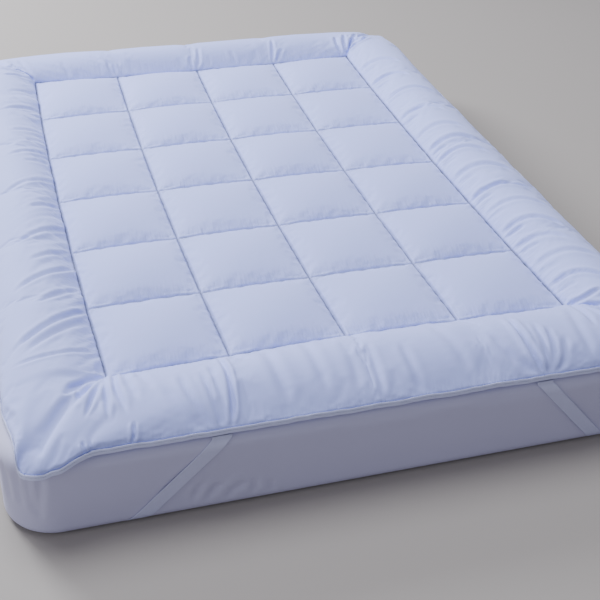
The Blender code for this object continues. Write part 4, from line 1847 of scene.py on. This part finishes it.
@dataclass
class CornerStrap:
    """One flat elastic strap, from the foot or head end under a corner and up the side."""

    route: StrapRoute
    plan: TopperPlan
    width: float = 0.026
    thickness: float = 0.0014
    gap: float = 0.0005
    groove_gap: float = 0.0001
    lift: float = 0.0022
    tape_gap: float = 0.0006
    dent_spare: float = 0.002
    dent_depth: float = 0.005
    dent_first_row: int = 24
    turn_steps: int = 10
    face_steps: int = 16
    piece: bpy.types.Object = field(init=False)
    length: float = field(init=False)

    def _profile(self, half_size: float, overhang: float, band: Band) -> list:
        """Places down a face: distance travelled, then reach and height inside and outside.

        Args:
            half_size: half the mattress's size toward the face.
            overhang: how far the mattress stands out past the topper.
            band: its section.

        Returns:
            A row for each place.
        """
        mattress = self.plan.mattress
        reach_under = mattress.top_radius - overhang - self.plan.tape_thickness / 2 - self.thickness / 2
        top_turn = math.acos(min(1.0, reach_under / (mattress.top_radius + band.near)))
        spots = [(half_size - mattress.top_radius, mattress.height - mattress.top_radius, mattress.top_radius,
                  top_turn * step / self.turn_steps) for step in range(self.turn_steps, -1, -1)]
        low = mattress.base_radius + self.lift
        high = mattress.height - mattress.top_radius
        radius = mattress.base_radius
        spots += [(half_size - radius, high + (low - high) * step / self.face_steps, radius, 0.0)
                  for step in range(1, self.face_steps + 1)]
        spots += [(half_size - radius, low, radius, -math.pi / 2 * step / self.turn_steps)
                  for step in range(1, self.turn_steps + 1)]
        profile, travelled, last = [], 0.0, None
        for centre, height, radius, turn in spots:
            inner, outer = ((centre + away * math.cos(turn), height + away * math.sin(turn))
                            for away in (radius + band.near, radius + band.near + band.depth))
            travelled += math.dist(inner, last) if last else 0.0
            profile.append((travelled, inner, outer))
            last = inner
        return profile

    def _side_turn(self) -> float:
        """How far along the side from the bed's middle the strap turns up it.

        Returns:
            The distance.
        """
        mattress = self.plan.mattress
        start = mattress.half_length - mattress.base_radius
        return start - (mattress.half_width - mattress.base_radius - self.route.turn) / self.route.slope

    def _face_rows(self, on_end: bool, band: Band) -> list:
        """Rows of points down one face, each a pair of lines inside and outside.

        Args:
            on_end: whether the face is the foot or head one.
            band: its section.

        Returns:
            The rows.
        """
        mattress, plan = self.plan.mattress, self.plan
        slope = self.route.slope if on_end else 1.0 / self.route.slope
        half_size = mattress.half_length if on_end else mattress.half_width
        overhang = half_size - (plan.half_length if on_end else plan.half_width)
        turn = self.route.turn if on_end else self._side_turn()
        profile = self._profile(half_size, overhang, band)
        total = profile[-1][0]
        half = band.width / 2 * math.sqrt(1 + slope * slope)
        rows = []
        for travelled, inner, outer in profile:
            place = turn - slope * (total - travelled) + band.across * half
            rows.append(tuple(self._world(on_end, place, spot) for spot in (inner, outer)))
        return rows

    def _world(self, on_end: bool, place: Array, spot: tuple) -> Array:
        """World points from places along a face and one reach and height.

        Args:
            on_end: whether the face is the foot or head one.
            place: places along the face.
            spot: the reach outward and the height.

        Returns:
            The points.
        """
        reach = np.full_like(place, spot[0])
        x, y = (place, reach) if on_end else (reach, place)
        return np.stack([self.route.side * x, self.route.end * y, np.full_like(place, spot[1])], -1)

    def _under_row(self, band: Band) -> tuple:
        """The square-cut row half way under the corner.

        Args:
            band: its section.

        Returns:
            The row's lines inside and outside.
        """
        mattress = self.plan.mattress
        start = np.array([self.route.turn, mattress.half_length - mattress.base_radius])
        end = np.array([mattress.half_width - mattress.base_radius, self._side_turn()])
        cross = np.array([1.0, self.route.slope])
        cross = cross / np.linalg.norm(cross) * band.width / 2
        place = (start + end) / 2 + band.across[:, None] * cross
        top = self.lift - band.near
        return tuple(np.stack([self.route.side * place[:, 0], self.route.end * place[:, 1],
                               np.full(len(place), height)], -1) for height in (top, top - band.depth))

    def rows(self, band: Band) -> list:
        """All rows of the strap, or of the groove it lies in.

        Args:
            band: its section.

        Returns:
            The rows in order, from the end's tape to the side's.
        """
        return self._face_rows(True, band) + [self._under_row(band)] + self._face_rows(False, band)[::-1]

    @staticmethod
    def band(name: str, rows: list) -> bpy.types.Object:
        """A closed band through rows of inner and outer points.

        Args:
            name: the piece's name.
            rows: pairs of lines of points.

        Returns:
            The band's object.
        """
        loops = [np.vstack([inner, outer[::-1]]) for inner, outer in rows]
        numbers = numbered(len(loops), len(loops[0]))
        faces = tube_faces(numbers) + [list(numbers[0]), list(numbers[-1])]
        thing = add_mesh(name, np.vstack(loops), faces)
        face_outward(thing)
        return thing

    def build(self) -> None:
        """Lay the strap round its corner."""
        across = np.array([-1.0, -0.95, -0.5, 0.0, 0.5, 0.95, 1.0])
        rows = self.rows(Band(self.width, self.gap, self.thickness, across))
        rows = [self._raised(rows[0])] + rows + [self._raised(rows[-1])]
        self.piece = self.band("elastic_" + self.route.node, rows)
        flat = [np.linalg.norm((b[0] - a[0])[3]) for a, b in zip(rows, rows[1:])]
        self.length = float(sum(flat))
        walk = np.concatenate([[0.0], np.cumsum(flat)])
        layer = self.piece.data.uv_layers.new(name="cloth")
        sides = 2 * len(across)
        widths = np.concatenate([across, across[::-1]]) * self.width / 2
        for loop in self.piece.data.loops:
            row, place = divmod(loop.vertex_index, sides)
            layer.data[loop.index].uv = (walk[row], widths[place])

    def _raised(self, row: tuple) -> tuple:
        """The sewn end: a row lifted to meet the tape.

        Args:
            row: the last row on the face.

        Returns:
            The lifted row.
        """
        inner, outer = row
        on_end = abs(inner[0, 1]) / self.plan.half_length > abs(inner[0, 0]) / self.plan.half_width
        x = inner[:, 0] if on_end else np.full(len(inner), self.route.side * self.plan.half_width)
        y = np.full(len(inner), self.route.end * self.plan.half_length) if on_end else inner[:, 1]
        tape = self.plan.edge(x, y)[:, 2].min() - self.plan.tape_height / 2 - self.tape_gap
        rise = np.array([0.0, 0.0, max(0.0, tape - outer[:, 2].max())])
        return inner + rise, outer + rise

    def groove_cutter(self) -> bpy.types.Object:
        """A cutter for the dent that the strap presses into the mattress's underside.

        Returns:
            The cutter's object.
        """
        width = self.width + self.dent_spare
        rows = self.rows(Band(width, self.groove_gap, self.dent_depth, np.array([-1.0, 1.0])))
        return self.band("dent_" + self.route.node, rows[self.dent_first_row:-self.dent_first_row])

    def dress(self, elastic: bpy.types.Material) -> None:
        dress(self.piece, elastic, Slot.ELASTIC, self.route.node)


# ---------------------------------------------------------------- the mattress

@dataclass
class PlainMattress:
    """The plain mattress under the topper."""

    form: MattressForm
    straps: Sequence[CornerStrap]
    step: float = 0.006
    side_rings: int = 22
    sink: float = 0.0026
    corner_steps: int = 24
    base_rings: int = 8
    top_rings: int = 9
    creases: tuple = (
        Crease(((-0.352, 0.034), (-0.345, 0.050), (-0.334, 0.070)), 0.007, 0.0028, 0.5),
        Crease(((-0.330, 0.026), (-0.316, 0.046), (-0.300, 0.060)), 0.008, 0.0030, 0.5),
        Crease(((-0.290, 0.024), (-0.274, 0.040), (-0.252, 0.050)), 0.008, 0.0026, 0.5),
        Crease(((-0.240, 0.024), (-0.236, 0.042), (-0.240, 0.056)), 0.007, 0.0022, 0.5),
        Crease(((-0.205, 0.022), (-0.203, 0.036), (-0.207, 0.048)), 0.007, 0.0018, 0.5),
        Crease(((-0.410, 0.060), (-0.360, 0.095), (-0.305, 0.138)), 0.010, 0.0020, 0.4),
        Crease(((-0.625, 0.150), (-0.632, 0.100), (-0.640, 0.040)), 0.009, 0.0036, 0.5),
        Crease(((-0.655, 0.150), (-0.656, 0.105), (-0.650, 0.050)), 0.009, 0.0034, 0.5),
        Crease(((-0.690, 0.150), (-0.684, 0.110), (-0.686, 0.060)), 0.008, 0.0028, 0.5),
        Crease(((-0.740, 0.148), (-0.730, 0.110), (-0.724, 0.060)), 0.010, 0.0026, 0.5),
        Crease(((0.400, 0.150), (0.300, 0.146), (0.180, 0.149)), 0.009, 0.0016, 0.4),
        Crease(((0.100, 0.147), (0.020, 0.151), (-0.080, 0.148)), 0.009, 0.0014, 0.4),
    )
    piece: bpy.types.Object = field(init=False)

    def _outline(self) -> tuple[Array, Array]:
        """Places round the rounded outline and their outward directions.

        Returns:
            The places and the directions.
        """
        form = self.form
        inner_x, inner_y = form.half_width - form.corner_radius, form.half_length - form.corner_radius
        radius = form.corner_radius
        places, normals = [], []
        centres = ((inner_x, -inner_y, -90), (inner_x, inner_y, 0),
                   (-inner_x, inner_y, 90), (-inner_x, -inner_y, 180))
        for number, (cx, cy, start) in enumerate(centres):
            for step in range(self.corner_steps + 1):
                turn = math.radians(start + 90 * step / self.corner_steps)
                normals.append((math.cos(turn), math.sin(turn)))
                places.append((cx + radius * math.cos(turn), cy + radius * math.sin(turn)))
            nx, ny, after = centres[(number + 1) % 4]
            turn = math.radians(after)
            target = np.array([nx + radius * math.cos(turn), ny + radius * math.sin(turn)])
            begin = np.array(places[-1])
            count = int(np.linalg.norm(target - begin) / self.step)
            for step in range(1, count):
                places.append(tuple(begin + (target - begin) * step / count))
                normals.append(normals[-1])
        return np.array(places), np.array(normals)

    def _profile(self) -> list:
        """Inset and height of each ring, from the underside up over the top edge.

        Returns:
            The rings.
        """
        form = self.form
        rings = [(form.base_radius * (1 - math.sin(turn)), form.base_radius * (1 - math.cos(turn)))
                 for turn in np.linspace(0, math.pi / 2, self.base_rings)]
        low, high = form.base_radius, form.height - form.top_radius
        rings += [(0.0, low + (high - low) * step / self.side_rings) for step in range(1, self.side_rings)]
        rings += [(form.top_radius * (1 - math.cos(turn)), high + form.top_radius * math.sin(turn))
                  for turn in np.linspace(0, math.pi / 2, self.top_rings)]
        return rings

    def build(self) -> None:
        """Build the soft block, cut the straps' dents and crease its cover."""
        places, normals = self._outline()
        rings = self._profile()
        count = len(places)
        points = np.empty((len(rings), count, 3))
        for number, (inset, height) in enumerate(rings):
            points[number, :, :2] = places - normals * inset
            points[number, :, 2] = height
        points[..., :2] -= normals[None] * self._soft(points)[..., None]
        numbers = numbered(len(rings), count)
        faces = tube_faces(numbers) + [list(numbers[0])[::-1], list(numbers[-1])]
        self.piece = add_mesh("plain_mattress", points.reshape(-1, 3), faces)
        face_outward(self.piece)
        for strap in self.straps:
            self._cut(strap.groove_cutter())

    def _soft(self, points: Array) -> Array:
        """How far each point of the sides sinks in: slack, and creases pulled by the straps.

        Args:
            points: points of the smooth sides.

        Returns:
            How far each sinks.
        """
        x, y, z = points[..., 0], points[..., 1], points[..., 2]
        middle = ease(z / 0.05) * ease((self.form.height - z) / 0.05)
        walk = x + np.sign(x) * (y + self.form.half_length)
        slack = 0.5 + 0.5 * Unevenness(61).at(walk * 6.0 + 30.0, z * 14.0)
        pulled = -sum(crease.height(walk, z) for crease in self.creases)
        return np.maximum(self.sink * slack * middle + pulled * ease(z / 0.02), 0.0)

    def _cut(self, cutter: bpy.types.Object) -> None:
        """Cut a dent with an exact Boolean and drop the cutter.

        Args:
            cutter: the dent's cutter.
        """
        boolean = self.piece.modifiers.new("dent", "BOOLEAN")
        boolean.operation = "DIFFERENCE"
        boolean.solver = "EXACT"
        boolean.object = cutter
        cut = bpy.data.meshes.new_from_object(self.piece.evaluated_get(bpy.context.evaluated_depsgraph_get()))
        self.piece.modifiers.clear()
        self.piece.data = cut
        bpy.data.objects.remove(cutter, do_unlink=True)

    def dress(self, cover: bpy.types.Material) -> None:
        dress(self.piece, cover, Slot.MATTRESS, "mattress")


# ---------------------------------------------------------------- the studio

@dataclass(frozen=True)
class SoftLight:
    """One area light: where it is, what it points at, its size, power and colour."""

    name: str
    place: tuple
    target: tuple
    size: float
    power: float
    colour: tuple = (1.0, 1.0, 1.0)

    def add(self) -> None:
        """Put the light in the scene."""
        data = bpy.data.lights.new(self.name, "AREA")
        data.shape = "DISK"
        data.size = self.size
        data.energy = self.power
        data.color = self.colour
        lamp = bpy.data.objects.new(self.name, data)
        lamp.location = self.place
        lamp.rotation_euler = (Vector(self.target) - Vector(self.place)).to_track_quat("-Z", "Y").to_euler()
        bpy.context.scene.collection.objects.link(lamp)


@dataclass
class Studio:
    """The floor, the lights and the camera."""

    azimuth: float = -17.19
    elevation: float = 33.22
    roll: float = 1.65
    place: tuple = (-0.626, -2.442, 1.476)
    lens: float = 67.3
    sensor_width: float = 36.0
    view_far: float = 60.0
    floor_size: float = 50.0
    sky: tuple = (0.87, 0.88, 0.98)
    sky_power: float = 0.46
    lights: tuple = (
        SoftLight("key_light", (-2.5, 3.8, 2.6), (0.0, 0.1, 0.2), 1.6, 385.0, (0.92, 0.95, 1.0)),
        SoftLight("top_light", (-0.9, 0.9, 4.2), (0.0, 0.0, 0.2), 3.0, 215.0, (0.92, 0.95, 1.0)),
        SoftLight("fill_light", (-1.5, -5.0, 2.0), (0.0, -0.5, 0.1), 2.4, 8.0, (0.96, 0.96, 1.0)),
        SoftLight("left_light", (-4.2, -1.4, 1.2), (-0.6, -0.5, 0.1), 1.6, 30.0, (0.96, 0.97, 1.0)),
    )

    def build(self) -> None:
        """Set up the whole studio."""
        self._floor()
        self._sky()
        for light in self.lights:
            light.add()
        self._camera()

    def _floor(self) -> None:
        """A plain pale floor."""
        half = self.floor_size / 2
        floor = add_mesh("studio_floor", np.array([(-half, -half, 0), (half, -half, 0), (half, half, 0),
                                                   (-half, half, 0)], float), [(0, 1, 2, 3)], smooth=False)
        floor.data.materials.append(PaleFloor().material())

    def _sky(self) -> None:
        """Even light from all round."""
        world = bpy.data.worlds.new("soft_sky")
        world.use_nodes = True
        back = world.node_tree.nodes["Background"]
        back.inputs["Color"].default_value = (*self.sky, 1.0)
        back.inputs["Strength"].default_value = self.sky_power
        bpy.context.scene.world = world

    def _camera(self) -> None:
        """The camera at its viewing angle."""
        turn, tilt, roll = (math.radians(value) for value in (self.azimuth, self.elevation, self.roll))
        back = Vector((math.sin(turn) * math.cos(tilt), -math.cos(turn) * math.cos(tilt), math.sin(tilt)))
        right = Vector((0.0, 0.0, 1.0)).cross(back).normalized()
        up = back.cross(right)
        turned_right = math.cos(roll) * right + math.sin(roll) * up
        turned_up = math.cos(roll) * up - math.sin(roll) * right
        data = bpy.data.cameras.new("camera")
        data.lens = self.lens
        data.sensor_width = self.sensor_width
        data.clip_end = self.view_far
        camera = bpy.data.objects.new("camera", data)
        matrix = Matrix((turned_right, turned_up, back)).transposed().to_4x4()
        matrix.translation = Vector(self.place)
        camera.matrix_world = matrix
        bpy.context.scene.collection.objects.link(camera)
        bpy.context.scene.camera = camera


def main() -> None:
    """Build the topper, its straps, the mattress and the studio."""
    logging.basicConfig(level=logging.INFO, format="%(name)s: %(message)s")
    mattress_form = MattressForm.from_frame()
    plan = TopperPlan(mattress_form)
    Studio().build()
    pad = FilledPad(plan, PadForm(plan))
    pad.build()
    pad.dress(BrushedMicrofibre().material())
    tape = EdgeTape(plan)
    tape.build()
    tape.dress(WovenTape().material())
    stitching = Stitching(pad, tape)
    stitching.build()
    stitching.dress(SewingThread().material())
    elastic = RibbedElastic().material()
    straps = [CornerStrap(route, plan) for route in STRAP_ROUTES]
    for strap in straps:
        strap.build()
        strap.dress(elastic)
    mattress = PlainMattress(mattress_form, straps)
    mattress.build()
    mattress.dress(CottonCover().material())


if __name__ == "__main__":
    main()
